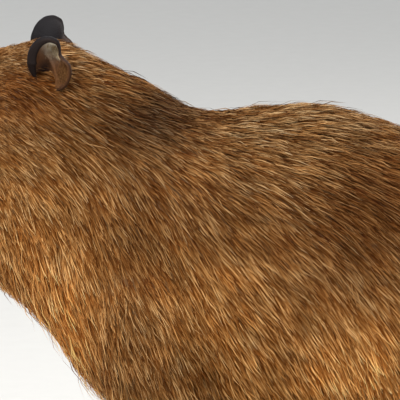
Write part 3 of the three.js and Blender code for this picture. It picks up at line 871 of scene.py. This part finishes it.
# In the side view hair lies at the topline's slope and turns down with the depth under the topline by
# most * (1 - exp(-depth / scale)), with local turns; it goes down the legs and forward over the feet,
# and back and up over the face.
def lieAt(spots, kind):
    x, z = spots[:, 0], spots[:, 2]
    ridge = curveThrough(np.array(body["ribs"])[:, :2], np.linspace(0, 1, 300))
    ridge = ridge[: ridge[:, 0].argmax() + 1]
    slope = np.degrees(np.arctan2(-np.gradient(ridge[:, 1]), np.gradient(ridge[:, 0])))
    depth = np.maximum(np.interp(x, ridge[:, 0], ridge[:, 1]) - z, 0)
    kept, fade = lie["slope"]
    angle = np.interp(x, ridge[:, 0], slope) * (kept + (1 - kept) * np.exp(-depth / fade))
    angle = angle + lie["most"] * (1 - np.exp(-depth / lie["depth"]))
    for middleX, middleZ, reachX, reachZ, more in lie["turns"]:
        angle = angle + more * bell(x, middleX, reachX) * bell(z, middleZ, reachZ)
    start, more = lie["faceTurn"]
    angle = mix(angle, start + more * depth, smoothStep(*lie["face"], x))
    angle = np.radians(np.clip(angle, *lie["range"]))
    way = np.stack([np.cos(angle), np.zeros_like(angle), -np.sin(angle)], -1)
    for kinds, most, heights, aim in lie["limbs"]:
        share = np.isin(kind, kinds) * most * smoothStep(*heights, z)
        way = mix(way, np.array(aim), share[:, None])
    return way


# Coat
coat = {
    "hairs": 485000,
    "place": [0, 1.0, 2.5, 4.0, 5.0, 5.8, 6.6, 8.0, 10.0, 14.0, 18.0],  # ribs along the trunk
    "length": [2.2, 3.2, 4.5, 6.0, 9.0, 14.0, 23.0, 27.0, 26.0, 26.0, 23.0],  # there, in mm
    "width": [0.45, 0.5, 0.55, 0.62, 0.75, 0.92, 1.05, 1.08, 1.08, 1.1, 1.15],
    "cover": [0.5, 0.55, 0.65, 0.75, 0.85, 0.95, 1.0, 1.0, 1.0, 1.0, 1.0],
    "leg": {"length": (5.5, 22.0), "width": (0.6, 1.0), "cover": (0.6, 1.0), "over": (50, 260)},
    "paw": {"length": 2.2, "width": 0.45, "cover": 0.42},
    # how much longer hair is under the throat: at which rib, its reach, and how far under
    "fringe": {"more": 1.1, "place": 7.0, "reach": 1.3, "under": (0.6, 1.0)},
    "earTuft": ((-178, -66, 532), 15, 1.3),  # place, reach and how much longer the hair before the ear is
    "drift": [(60, 3.0, 21), (16, 4.0, 22)],  # wave in mm, degrees, seed
    "ridge": 0.12,  # how broad the strip along the back is where hair isn't held to its side view
    # for the under layer, the top layer and the guard hairs: share of all, length and width as shares,
    # lift and stray in degrees, and how light the root, middle and tip are: partly the hair's own bands,
    # pale at the tip, and partly painted shade, darker at the root and in the under layer deep in the coat
    "layers": {
        "share": (0.7, 0.27, 0.03),
        "long": (0.75, 1.45, 1.6),
        "wide": (1.1, 0.78, 0.75),
        "lift": (10, 11, 15),
        "stray": (9, 5, 10),
        "light": ((0.22, 0.55, 0.9), (0.3, 0.9, 1.45), (0.3, 0.8, 1.2)),
    },
    "vary": {"length": (0.75, 1.15), "width": (0.75, 1.25), "lift": (0.6, 1.4)},
    "tone": {"hair": 0.62, "clump": 0.34, "all": 0.94, "range": (0.3, 2.4), "depths": (0.78, 1.08, 1.5)},
    "clump": {  # a cell's size in mm, how ragged its edge is, and how its hairs lean together
        "size": 6.0,
        "edge": 0.25,
        "pull": 0.42,
        "vary": (0.2, 1.6),
        "gather": 0.8,
        "near": 0.6,
        "middle": 0.4,
    },
    "regions": ("headCoat", "neckCoat", "foreCoat", "hindCoat"),
    "regionEnds": (0, 5.8, 8.6, 12.2, 19),
    "margin": (0.04, 0.02),  # of a column on the unwrap, aside and at the ends
    "perPiece": 64000,
    "overFloor": 0.0006,
}
# A hair: a flat blade in two lengths, rolled a little at random, drawn to a point.
blade = {
    "bend": 0.6,  # the share of the length at which it bends
    "tipRise": 0.08,
    "root": 0.32,  # half its width there, as a share of the whole
    "middle": 0.5,
    "roll": 0.5,
    "sunk": 0.0012,
    "hug": 0.3,  # the radius in metres by which it curves back to the body
    "patch": 0.0015,  # half its side on the unwrap
}


# Length, width and cover of the hair at each point of the skin, in mm and as a share.
def hairSizes(spots, kind, place, turn):
    leg, fringe = coat["leg"], coat["fringe"]
    high = smoothStep(*leg["over"], spots[:, 2])
    under = smoothStep(*fringe["under"], (1 - np.cos(turn)) / 2)
    longer = 1 + fringe["more"] * bell(place, fringe["place"], fringe["reach"]) * under
    spot, reach, more = coat["earTuft"]
    longer = longer + more * bell(lengths(onLeft(spots) - spot), 0, reach)
    sizes = []
    for name in ("length", "width", "cover"):
        onTrunk = np.interp(place, coat["place"], coat[name]) * (longer if name == "length" else 1)
        onLeg = leg[name][0] + (leg[name][1] - leg[name][0]) * high
        choices = [onTrunk, coat["paw"][name]]
        sizes.append(np.select([kind == "trunk", np.isin(kind, footKinds)], choices, onLeg))
    return sizes


# One value of every layer, to be picked from by the layer's number.
def layerValues(key):
    return np.array(coat["layers"][key])


# Roots strewn evenly over the skin: triangles are drawn by their area and the wanted density, and the
# fields known at their corners are blended for each root.
def plantHairs(fields, density, total):
    points, normals = meshArrays(skinMesh)
    skinMesh.calc_loop_triangles()
    corners = np.empty(len(skinMesh.loop_triangles) * 3, int)
    skinMesh.loop_triangles.foreach_get("vertices", corners)
    corners = corners.reshape(-1, 3)
    edgeA, edgeB = (points[corners[:, k]] - points[corners[:, 0]] for k in (1, 2))
    wanted = lengths(np.cross(edgeA, edgeB)) * density[corners].min(1)
    chosen = rng.choice(len(corners), total, p=wanted / wanted.sum())
    share = rng.random((total, 2))
    share = np.where(share.sum(1, keepdims=True) > 1, 1 - share, share)
    weights = np.stack([1 - share.sum(1), share[:, 0], share[:, 1]], -1)
    own = corners[chosen]

    def blend(values):
        return (values[own] * weights[(...,) + (None,) * (values.ndim - 1)]).sum(1)

    nearest = own[np.arange(total), weights.argmax(1)]
    return blend(points), unit(blend(normals)), nearest, [blend(field) for field in fields]


# A way turned by an angle about the normal it is square to.
def turned(way, normal, angle):
    across = np.cross(normal, way)
    return way * np.cos(angle)[:, None] + across * np.sin(angle)[:, None]


# Each hair rises from its root by its lift, bends back to the skin, and leans to the first hair that
# grows in the same small cell.
def layHairs(root, normal, way, length, layer):
    spots = inMm(root)
    total = len(root)
    vary, clump, bend = coat["vary"], coat["clump"], blade["bend"]
    long, lift, stray = (layerValues(key)[layer] for key in ("long", "lift", "stray"))
    drift = sum(size * softNoise(spots, wave, seed) for wave, size, seed in coat["drift"])
    aside = (way * normal).sum(1) * normal[:, 1] / (normal[:, 1] ** 2 + coat["ridge"])
    way = way - np.outer(aside, [0, 1, 0])  # on the flanks its side view stays as it is
    way = unit(way - normal * (way * normal).sum(1, keepdims=True))
    way = turned(way, normal, np.radians(drift + rng.normal(0, 1, total) * stray))
    length = length * rng.uniform(*vary["length"], total) * long * 0.001
    lift = np.radians(lift * rng.uniform(*vary["lift"], total))
    rise = normal * (length * np.sin(lift))[:, None]
    sag = normal * (length**2 / (2 * blade["hug"]))[:, None]
    middle = root + way * (length * bend * np.cos(lift))[:, None] + rise * bend - sag * bend**2
    tip = root + way * length[:, None] + rise * (bend + blade["tipRise"]) - sag
    cell = np.floor(spots / clump["size"] + rng.uniform(-clump["edge"], clump["edge"], (total, 3)))
    number = cell.astype(np.int64) @ [1, 4096, 4096**2]  # one for each cell, with room for 4096 each way
    _, first, member = np.unique(number, return_index=True, return_inverse=True)
    leader = first[member]
    pull = clump["pull"] * rng.uniform(*clump["vary"], total) * (layer < 2)  # guard hairs stand free
    shift = (tip[leader] - root[leader] + (root[leader] - root) * clump["gather"]) - (tip - root)
    near = lengths(root[leader] - root) < length * clump["near"]
    shift = shift * (pull * near)[:, None]
    middle, tip = middle + shift * clump["middle"], tip + shift
    for point in (middle, tip):
        point[:, 2] = np.maximum(point[:, 2], coat["overFloor"])
    return middle, tip, np.cross(normal, way), leader


# Chosen hairs as one piece: each has five points, a quad from root to middle and a triangle to the
# tip, and a small patch on the unwrap at its root's place.
def bladeMesh(name, hairs, chosen):
    n = len(chosen)
    root, middle, tip, normal, across, width = (
        hairs[key][chosen] for key in ("root", "middle", "tip", "normal", "across", "width")
    )
    roll = rng.normal(0, blade["roll"], n)[:, None]
    w = (across * np.cos(roll) + normal * np.sin(roll)) * width[:, None]
    sunk = root - normal * blade["sunk"]
    sunk[:, 2] = np.maximum(sunk[:, 2], coat["overFloor"])
    ends = [w * blade["root"], w * blade["middle"]]
    rows = [sunk - ends[0], sunk + ends[0], middle - ends[1], middle + ends[1], tip]
    loops = np.array([1, 0, 2, 3, 3, 2, 4])
    mesh = bpy.data.meshes.new(name)
    mesh.vertices.add(n * 5)
    mesh.vertices.foreach_set("co", np.stack(rows, 1).ravel())
    mesh.loops.add(n * 7)
    mesh.loops.foreach_set("vertex_index", ((np.arange(n) * 5)[:, None] + loops).ravel())
    mesh.polygons.add(n * 2)
    mesh.polygons.foreach_set("loop_start", ((np.arange(n) * 7)[:, None] + [0, 4]).ravel())
    mesh.update(calc_edges=True)
    setColour(mesh, "coatColour", hairs["colours"][chosen][:, [0, 0, 1, 1, 2]].reshape(-1, 3))
    corner = np.array([[-1, -1], [1, -1], [-1, 0], [1, 0], [0, 1]]) * blade["patch"]
    layer = mesh.uv_layers.new(name="OFBake")
    layer.data.foreach_set("uv", (hairs["chart"][chosen][:, None] + corner)[:, loops].ravel())
    mesh.shade_smooth()
    piece = addObject(name, mesh, coatMaterial)
    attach(piece, "root")


# The coat in pieces by region and side, each cut further along the body where it has too many hairs.
def splitCoat(hairs, kind, place):
    regions = {}
    for region, first, last in zip(coat["regions"], coat["regionEnds"], coat["regionEnds"][1:]):
        regions[region] = (kind == "trunk") & (place >= first) & (place < last)
    regions["frontLegCoat"] = np.isin(kind, frontLegKinds)
    regions["hindLegCoat"] = np.isin(kind, hindLegKinds)
    for sideName, side in animal["sides"].items():
        for region, inside in regions.items():
            chosen = np.flatnonzero(inside & (hairs["root"][:, 1] * side > 0))
            chosen = chosen[np.argsort(hairs["root"][chosen, 0], kind="stable")]
            cuts = np.array_split(chosen, math.ceil(len(chosen) / coat["perPiece"]))
            for k, cut in enumerate(cuts):
                bladeMesh(f"{region}{sideName.capitalize()}{k + 1}", hairs, cut)
            print(region, sideName, len(chosen), "hairs in", len(cuts))


# The colour of each hair at its root, middle and tip is the marking there, with its painted light and
# shade, times light ** depth, where light is the layer's at that height, darker deep in the coat as
# painted shade, times random tones of the hair and its clump, and the depths are least for red, so that
# dark hair turns red and light hair pale.
def hairColours(colour, layer, leader):
    total = len(colour)
    tone = coat["tone"]
    level = np.exp(tone["hair"] * rng.normal(0, 1, total) + tone["clump"] * rng.normal(0, 1, total)[leader])
    light = np.clip(level, *tone["range"])[:, None] * layerValues("light")[layer] * tone["all"]
    return colour[:, None] * light[..., None] ** tone["depths"]


# Reads every field at the skin's points, colours the skin, and plants, lays and colours the hairs. On
# the unwrap each kind of part has a column, across it the turn and up it the way along the part.
def growCoat():
    points, _ = meshArrays(skinMesh)
    spots = inMm(points)
    kind, along, around = readParts(points)
    place, turn = along * lastRib, around * 2 * np.pi
    print("skin read:", len(points), "points")
    length, width, cover = hairSizes(spots, kind, place, turn)
    colour = coatColourAt(spots)
    bareness = bareShare(spots)
    skinColour = mix(colour * bare["underCoat"], linearColour(bare["colour"]), bareness[:, None])
    setColour(skinMesh, "coatColour", skinColour)
    density = cover * (1 - smoothStep(*bare["hairless"], bareness)) / (length * width)
    fields = [lieAt(spots, kind), length, width, colour, along, np.stack([np.cos(turn), np.sin(turn)], -1)]
    root, normal, nearest, blended = plantHairs(fields, density, coat["hairs"])
    way, length, width, colour, along, turn = blended
    shares = layerValues("share")
    layer = rng.choice(len(shares), len(root), p=shares)
    middle, tip, across, leader = layHairs(root, normal, way, length, layer)
    kinds = ["trunk", *frontLegKinds, *hindLegKinds]
    column = np.array([kinds.index(name) for name in kind])[nearest]
    around = np.arctan2(turn[:, 1], turn[:, 0]) / (2 * np.pi) % 1
    aside, end = coat["margin"]
    onChart = (column + aside + (1 - 2 * aside) * around) / len(kinds)
    hairs = {
        "root": root,
        "middle": middle,
        "tip": tip,
        "normal": normal,
        "across": across,
        "width": width * layerValues("wide")[layer] * rng.uniform(*coat["vary"]["width"], len(root)) * 0.001,
        "colours": hairColours(colour, layer, leader),
        "chart": np.stack([onChart, end + (1 - 2 * end) * along], -1),
    }
    print("hairs laid:", len(root))
    splitCoat(hairs, kind[nearest], place[nearest])


growCoat()

# Ears: a bowl whose front edge rolls in over it, with a fold down the middle and a notch behind.
ears = {
    "centre": (-158, -62, 556),
    "lean": 16,
    "swivel": 24,
    "edge": [  # degrees from the rear upwards, and the edge's distance from the middle
        (-180, 24.5), (-167, 24.8), (-142, 26.3), (-118, 29.2), (-98, 32.4), (-78, 33.9), (-59, 31.3),
        (-36, 27.2), (-15, 24.5), (3, 21.9), (23, 17.0), (40, 15.4), (50, 16.6), (60, 21.0), (72, 27.6),
        (88, 30.0), (105, 29.8), (125, 28.0), (148, 25.5), (175, 24.4), (180, 24.5),
    ],
    "roll": [  # degrees, and how far the edge rolls in, as a share
        (-180, 0.5), (-150, 0.34), (-125, 0.1), (-100, 0.05), (60, 0.05), (85, 0.12), (125, 0.34), (180, 0.5),
    ],
    "rim": [(-180, 7), (-130, 3), (-60, 1), (20, 2), (60, 0), (90, 3), (140, 6), (180, 7)],  # and its height
    "cup": 12,
    "thick": 3.0,
    "fold": [(-7, 6), (-2, -4), (4, -14), (8, -26)],
    "foldHigh": 6.5,
    "foldWide": 3.6,
    "around": 108,
    "inner": (0.04, 0.15, 0.28, 0.4, 0.52, 0.64, 0.75, 0.84, 0.9, 0.94),  # shares of the way to the edge
    "flapEdge": 0.97,
    "flapDown": 0.8,
    "flapLift": (0.35, 1.5),  # share of the lift, and how much more of it there is where the edge rolls
    # share of the roll, and lift
    "flap": [(0.3, 1.0), (0.75, 2.0), (1.0, 2.8), (0.96, 4.2), (0.7, 5.4), (0.35, 5.2), (0.1, 4.2)],
    # share of the way to the edge, and how much of the thickness it lies behind the inside
    "behind": [
        (1.0, 0.4), (1.02, 1.2), (1.0, 2.2), (0.93, 1), (0.8, 1), (0.6, 1), (0.4, 1), (0.2, 1), (0.05, 1),
    ],
    "thinFrom": 1.6,
}


# A point of the ear's own plane, back and up in it and out of it, swivelled, leant and put in place.
def earPlace(inX, inZ, out, side):
    swivel, lean = math.radians(-ears["swivel"]), math.radians(ears["lean"])
    x, y = inX * math.cos(swivel) + out * math.sin(swivel), inX * math.sin(swivel) - out * math.cos(swivel)
    y, z = y * math.cos(lean) - inZ * math.sin(lean), y * math.sin(lean) + inZ * math.cos(lean)
    return onSide(np.stack([x, y, z], -1) + ears["centre"], side)


# The inside of the ear, out of its plane: rim * rho^3 - cup * (1 - rho^2), with the fold on it.
def earDepth(rho, degrees, inX, inZ):
    rim = np.interp(degrees, *zip(*ears["rim"]))
    fold = curveThrough(ears["fold"], np.linspace(0, 1, 12))
    spots = np.stack([inX, inZ], -1).reshape(-1, 2)
    near = nearestDistance(spots, fold).reshape(np.shape(inX))
    return rim * rho**3 - ears["cup"] * (1 - rho**2) + ears["foldHigh"] * bell(near, 0, ears["foldWide"])


# Rings from the middle of the inside out to the edge, in over the roll, and back behind to the middle:
# their points, share of the way to the edge, face (inside, roll or back) and degrees.
def earSurface(side):
    degrees = np.linspace(-180, 180, ears["around"], endpoint=False)[None]
    edge, roll, rim = (np.interp(degrees, *zip(*ears[name])) for name in ("edge", "roll", "rim"))
    turn = np.radians(degrees)

    def inPlane(rho):
        return rho * edge * np.cos(turn), rho * edge * np.sin(turn)

    rows = [(rho, earDepth(rho, degrees, *inPlane(rho)), 0) for rho in ears["inner"]]
    least, more = ears["flapLift"]
    for share, lift in ears["flap"]:
        high = rim - ears["flapDown"] + lift * (least + roll * more)
        rows.append((ears["flapEdge"] - roll * share, high, 1))
    for rho, drop in ears["behind"]:
        inside = rim * rho**3 - ears["cup"] * (1 - min(rho, 1) ** 2)
        rows.append((rho, inside - ears["thick"] * drop * min(1, ears["thinFrom"] - rho), 2))
    grid = np.concatenate([earPlace(*inPlane(rho), out, side) for rho, out, _ in rows])
    rho = np.concatenate([np.broadcast_to(row[0], edge.shape) for row in rows])
    face = np.array([row[2] for row in rows])[:, None] + 0 * rho
    return grid, rho, face, np.broadcast_to(degrees, rho.shape)


earLook = {
    "tones": {"back": "#120e10", "roll": "#1a100d", "inner": "#6b4426", "pale": "#e6dcc6", "hole": "#1d0c08"},
    "pale": ((0.05, 0.4), (0.62, 0.42)),  # middle and reach back and up, in shares of the way to the edge
    # the hole, dark: the ear's opening, and painted shade on the shaded front wall
    "hole": ((-0.38, 0.3), (-0.5, 0.42)),
    "edge": (0.8, 0.95),
    "lobe": (-18, 58),  # middle and reach in degrees
    "brown": (0.7, 0.6, 0.6),  # tone on the roll and the back, and how much of it the back takes
}


# Colours of the ear: hair-pale near the top, tan down the fold, dark in the hole, which is the ear's
# opening and painted shade on the shaded front wall, and nearly black on the rolled edge and the back,
# but brown at the rear below.
def earColours(rho, face, degrees):
    tone = {name: linearColour(code) for name, code in earLook["tones"].items()}
    x, z = rho * np.cos(np.radians(degrees)), rho * np.sin(np.radians(degrees))
    pale, hole = (
        (bell(x, *earLook[name][0]) * bell(z, *earLook[name][1]))[..., None] for name in ("pale", "hole")
    )
    lobe = bell(degrees, *earLook["lobe"])[..., None]
    onRoll, onBack, share = earLook["brown"]
    rim = mix(tone["roll"], tone["inner"] * onRoll, lobe)
    inside = mix(mix(tone["inner"], tone["pale"], pale), tone["hole"], hole)
    inside = mix(inside, rim, smoothStep(*earLook["edge"], rho)[..., None])
    back = mix(tone["back"], tone["inner"] * onBack, lobe * share)
    return np.select([face[..., None] == 0, face[..., None] == 1], [inside, rim], back)


# An ear as a closed piece, in its colours.
def addEar(sideName, side):
    grid, rho, face, degrees = earSurface(side)
    ear = addPiece("ear" + sideName.capitalize(), [grid], earMaterial)
    setGridColour(ear.data, "coatColour", earColours(rho, face, degrees))
    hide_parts(f"ear_{sideName}")


earHair = {
    "count": 900,
    "length": (4, 7),
    "width": 0.45,
    "middles": [((2, 12), (7, 6)), ((11, -12), (7, 10))],  # in the ear's plane: place, reach
    "way": (0.25, -0.4, 0.55),  # back, up and out
    "spread": (0.6, 1.3),  # how far they stray from the middles, and at most
    "stray": 0.16,
    "arch": 0.6,
    "colours": [("#94734a", "#c2a67c", "#ece0c4"), ("#5a3a20", "#7d5430", "#a57b4d")],
    "tones": (0.6, 1.15),
    "within": 0.8,  # of the way to the ear's edge
    "chart": (370, 0.05),  # degrees over the unwrap's width, and where it starts
}


# Fine hairs inside the ear: they grow from random spots of the bowl, most near its pale top and its
# rear edge, and lean back, down and out of it.
def addEarHair(sideName, side):
    total = earHair["count"]
    kind = rng.choice(2, total)
    middle, reach = (np.array([each[k] for each in earHair["middles"]])[kind] for k in (0, 1))
    spread, most = earHair["spread"]
    spot = middle + np.clip(rng.normal(0, spread, (total, 2)), -most, most) * reach
    degrees = np.degrees(np.arctan2(spot[:, 1], spot[:, 0]))
    rho = lengths(spot) / np.interp(degrees, *zip(*ears["edge"]))
    inside = rho < earHair["within"]
    (inX, inZ), rho, degrees = spot[inside].T, rho[inside], degrees[inside]
    root = earPlace(inX, inZ, earDepth(rho, degrees, inX, inZ), side)
    axes = [earPlace(*axis, side) - earPlace(0, 0, 0, side) for axis in np.eye(3)]
    way = unit(np.array(earHair["way"]) + rng.normal(0, earHair["stray"], (len(root), 3))) @ np.array(axes)
    length = rng.uniform(*earHair["length"], len(root))[:, None]
    normal = np.tile(axes[2], (len(root), 1))
    colours = np.array([[linearColour(code) for code in codes] for codes in earHair["colours"]])
    wide, start = earHair["chart"]
    hairs = {
        "root": toFrame(root),
        "middle": toFrame(root + way * length * blade["bend"] + normal * earHair["arch"]),
        "tip": toFrame(root + way * length),
        "normal": normal,
        "across": np.cross(normal, way),
        "width": np.full(len(root), earHair["width"] * 0.001),
        "colours": colours[kind[inside]] * rng.uniform(*earHair["tones"], (len(root), 1, 1)),
        "chart": np.stack([0.5 + degrees / wide, start + (1 - 2 * start) * rho], -1),
    }
    bladeMesh("earHair" + sideName.capitalize(), hairs, np.arange(len(root)))


for sideName, side in animal["sides"].items():
    addEar(sideName, side)
    addEarHair(sideName, side)
print("ears made")

# Eyes
eyes = {
    "grid": (40, 56),
    "poleGap": 0.02,
    "pupil": (0.33, 0.39),  # where it ends, in radians from the gaze, as the iris does
    "iris": (0.61, 0.74),
    "bulge": (0.9, 0.5),  # height in mm and reach in radians
    "gaze": (-0.25, -0.95, 0.15),
    "fibres": (0.25, 37, 3, 5),
    "colours": ("#020101", "#2a150a", "#0f0907"),  # pupil, iris and the dark white
}


# Wet, nearly black brown with a faint lighter ring: a clear coat over it gives the sharp highlight.
def makeEyeMaterial():
    material, tree, shader = newMaterial(
        "WetEye", Roughness=0.3, Coat_Weight=0.7, Coat_Roughness=0.03, Coat_IOR=1.36, Specular_IOR_Level=0.1
    )
    colour = addNode(tree, "ShaderNodeAttribute", "Color", {"attribute_name": "eyeColour"})
    setSockets(shader, {"Base Color": colour})
    return material


# An eyeball in rings round its gaze, with the cornea bulging by high * exp(-(angle / reach)^2) over the
# iris, and fibres in the iris as 1 + depth * sin(many * turn + sway * sin(few * turn)).
def addEye(sideName, side, material):
    rings, around = eyes["grid"]
    tilt = np.linspace(eyes["poleGap"], np.pi - eyes["poleGap"], rings)[:, None]
    turn = onceRound(around)[None]
    gaze = unit(onSide(eyes["gaze"], side))
    upward = unit(np.array([0, 0, 1.0]) - gaze * gaze[2])
    outer = np.cos(turn)[..., None] * np.cross(gaze, upward) + np.sin(turn)[..., None] * upward
    high, reach = eyes["bulge"]
    radius = head["eye"]["radius"] + high * bell(tilt, 0, reach)
    ways = np.cos(tilt)[..., None] * gaze + np.sin(tilt)[..., None] * outer
    grid = onSide(head["eye"]["centre"], side) + ways * radius[..., None]
    eye = addPiece("eye" + sideName.capitalize(), [grid], material)
    pastPupil = smoothStep(*eyes["pupil"], tilt)[..., None]
    pastIris = smoothStep(*eyes["iris"], tilt)[..., None]
    depth, many, sway, few = eyes["fibres"]
    fibres = 1 + depth * np.sin(turn * many + sway * np.sin(turn * few))[..., None] * pastPupil
    pupil, iris, white = (linearColour(code) for code in eyes["colours"])
    colours = mix(mix(pupil, iris * fibres, pastPupil), white, pastIris)
    setGridColour(eye.data, "eyeColour", colours)
    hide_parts(f"eye_{sideName}")


eyeMaterial = makeEyeMaterial()
for sideName, side in animal["sides"].items():
    addEye(sideName, side, eyeMaterial)
print("eyes made")

# Claws
claws = {
    # mm past the toe's end, mm down from it, and size as a share of the toe's
    "steps": [(-4, -1, 0.8), (1, -0.5, 0.84), (5, 0, 0.78), (10.5, 2, 0.6), (15, 4, 0.22)],
    "wide": 1.15,
    "grid": (14, 18),
    "overFloor": 0.0003,
}


# Blunt dull horn, with fine streaks of 8 mm by 1.4 mm that run along it.
def makeHornMaterial():
    material, tree, shader = newMaterial("DullHorn", Roughness=0.42, IOR=1.54, Specular_IOR_Level=0.4)
    place = addNode(tree, "ShaderNodeTexCoord", "Object")
    long = addNode(tree, "ShaderNodeMapping", "Vector", None, Vector=place, Scale=(120.0, 700.0, 700.0))
    streak = addNode(tree, "ShaderNodeTexNoise", "Fac", None, Vector=long, Scale=1.0, Detail=3.0)
    colour = addNode(tree, "ShaderNodeValToRGB", "Color", None, Fac=streak)
    setRamp(colour, (0.3, "#1f1915"), (0.75, "#584a3d"))
    bump = addNode(tree, "ShaderNodeBump", "Normal", None, Strength=0.3, Distance=0.0004, Height=streak)
    setSockets(shader, {"Base Color": colour, "Normal": bump})
    return material


# Middles and half sizes along a claw, which goes on from its toe and sinks.
def clawStations(paw, toe):
    stations, way = toeStations(paw, toe)
    at, half = stations[-1, :3], stations[-1, 3]
    rows = []
    for along, drop, size in claws["steps"]:
        rows.append((*(at + way * along - [0, 0, drop]), half * size, half * size * claws["wide"]))
    return rows


hornMaterial = makeHornMaterial()
for sideName, side in animal["sides"].items():
    for pawName, paw in paws.items():
        toes = range(len(paw["reach"]))
        grids = [tube(clawStations(paw, toe), *claws["grid"], side) for toe in toes]
        name = f"{pawName}Claws{sideName.capitalize()}"
        piece = addPiece(name, grids, hornMaterial, claws["overFloor"])
        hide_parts(*[f"claw_{pawName}_{sideName}_{toe + 1}" for toe in toes])
print("claws made")

# Whiskers and lashes: long, stiff, tapered hairs, round in section.
bristles = {
    "grid": (7, 4),
    "blunt": 0.03,
    "whisker": {
        "count": 26,
        "place": (0.7, 2.3),  # ribs, and degrees round from the top
        "turn": (88, 126),
        "back": (-0.1, 0.7),  # how far its way leans back and up
        "up": (-0.5, 0.15),
        "bend": (0.35, 0, -0.18),
        "sunk": 2,
        "long": (26, 62),
        "thick": 0.42,
    },
    "lash": {
        "count": 16,
        "round": (12.3, 8.6, 7.5),  # how far from the eye's middle it grows: along, up and out
        "most": (0.95, 1.4),  # the last lash's share, and its angle for a share of 1
        "way": (0.5, 0.35, 1.0),
        "bend": 0.35,
        "long": (5, 9),
        "thick": 0.28,
    },
}


# A bristle: rings round a curve root + way * s + bend * s^2, thinning as 1 - s^1.5 to a blunt end.
def bristle(root, way, bend, long, thick):
    rings, around = bristles["grid"]
    s = np.linspace(0, 1, rings)[:, None]
    path = root + way * s * long + bend * s**2 * long
    side = unit(np.cross(way, [0.13, 0.2, 1.0]))  # square to the way, which is never upright
    other = np.cross(way, side)
    turn = onceRound(around)[None, :, None]
    radius = (thick / 2 * (1 - s**1.5) + bristles["blunt"])[..., None]
    return path[:, None] + radius * (side * np.cos(turn) + other * np.sin(turn))


# Whiskers from random places of the muzzle, and lashes from the edge of the upper lid.
def addBristles(sideName, side, material):
    grids = []
    look = bristles["whisker"]
    bend = np.array(look["bend"])
    for _ in range(look["count"]):
        place = rng.uniform(*look["place"])
        turn = math.radians(rng.uniform(*look["turn"]))
        root = onSide(bodySurface(place, turn), side)
        way = onSide(unit(np.array([rng.uniform(*look["back"]), -1.0, rng.uniform(*look["up"])])), side)
        root = root - way * look["sunk"]
        grids.append(bristle(root, way, bend, rng.uniform(*look["long"]), look["thick"]))
    look = bristles["lash"]
    along, up, out = eyeAxes(side)
    most, span = look["most"]
    farAlong, farUp, farOut = look["round"]
    aside, rise, ahead = look["way"]
    for share in np.linspace(-most, most, look["count"]):
        edge = along * farAlong * math.sin(share * span) + up * farUp * math.cos(share * span)
        root = onSide(head["eye"]["centre"], side) + edge + out * farOut
        way = unit(out * ahead + up * rise + along * share * aside)
        grids.append(bristle(root, way, -up * look["bend"], rng.uniform(*look["long"]), look["thick"]))
    piece = addPiece("bristles" + sideName.capitalize(), grids, material)


# Stiff black bristles, smooth enough to catch a thin line of light, browner every 11 mm or so.
def makeBristleMaterial():
    material, tree, shader = newMaterial("StiffBristle", Roughness=0.5, IOR=1.45, Specular_IOR_Level=0.15)
    place = addNode(tree, "ShaderNodeTexCoord", "Object")
    brown = addNode(tree, "ShaderNodeTexNoise", "Fac", None, Vector=place, Scale=90.0)
    colour = addNode(tree, "ShaderNodeValToRGB", "Color", None, Fac=brown)
    setRamp(colour, (0, "#15100d"), (1, "#3a2a1e"))
    setSockets(shader, {"Base Color": colour})
    return material


bristleMaterial = makeBristleMaterial()
for sideName, side in animal["sides"].items():
    addBristles(sideName, side, bristleMaterial)
print("bristles made")

# Floor, light and camera
studio = {
    "floor": ("#d3d0ca", "#d9d6d0"),
    "floorReach": 60.0,
    "world": "#e9edf2",
    "worldStrength": 0.8,
    "elevation": 11.0,
    "distance": 6.0,
    "target": (0, -130, 421),
    "frameWidth": 420,
    "lights": {  # place, size and power of each soft box
        "key": ((-1.1, -1.5, 2.4), 0.9, 56),
        "top": ((0.3, 0.2, 2.6), 1.8, 30),
        "back": ((1.4, 1.9, 1.6), 1.2, 18),
    },
    "aim": (0, 0, 0.3),
}


# Matt pale screed that runs to the horizon, faintly clouded every 25 mm.
def makeFloorMaterial():
    material, tree, shader = newMaterial("PaleFloor", Roughness=0.85)
    place = addNode(tree, "ShaderNodeTexCoord", "Object")
    cloud = addNode(tree, "ShaderNodeTexNoise", "Fac", None, Vector=place, Scale=40.0, Detail=4.0)
    colour = addNode(tree, "ShaderNodeValToRGB", "Color", None, Fac=cloud)
    setRamp(colour, *enumerate(studio["floor"]))
    setSockets(shader, {"Base Color": colour})
    return material


# The floor, an even pale sky, and three soft boxes that face the same spot.
def makeStudio():
    mesh = bpy.data.meshes.new("floor")
    far = studio["floorReach"]
    mesh.from_pydata([(-far, -far, 0), (far, -far, 0), (far, far, 0), (-far, far, 0)], [], [(0, 1, 2, 3)])
    floor = addObject("floor", mesh, makeFloorMaterial())
    world = bpy.data.worlds.new("softSky")
    world.use_nodes = True
    background = world.node_tree.nodes["Background"]
    background.inputs["Color"].default_value = (*linearColour(studio["world"]), 1)
    background.inputs["Strength"].default_value = studio["worldStrength"]
    bpy.context.scene.world = world
    for name, (place, size, power) in studio["lights"].items():
        light = bpy.data.lights.new(name, "AREA")
        light.shape = "DISK"
        light.size = size
        light.energy = power
        lamp = addObject(name, light)
        lamp.location = place
        lamp.rotation_euler = (Vector(studio["aim"]) - Vector(place)).to_track_quat("-Z", "Y").to_euler()


# A camera with the photo's framing: from the animal's left side and a little from above.
def makeCamera():
    camera = bpy.data.cameras.new("camera")
    camera.lens = camera.sensor_width * studio["distance"] / (studio["frameWidth"] * 0.001)
    camera.clip_end = 200
    eye = addObject("camera", camera)
    tilt = math.radians(studio["elevation"])
    look = Vector((0, math.cos(tilt), -math.sin(tilt)))
    eye.location = Vector(toFrame(studio["target"])) - look * studio["distance"]
    eye.rotation_euler = look.to_track_quat("-Z", "Y").to_euler()
    bpy.context.scene.camera = eye


makeStudio()
makeCamera()
bpy.context.scene.view_settings.view_transform = "Standard"
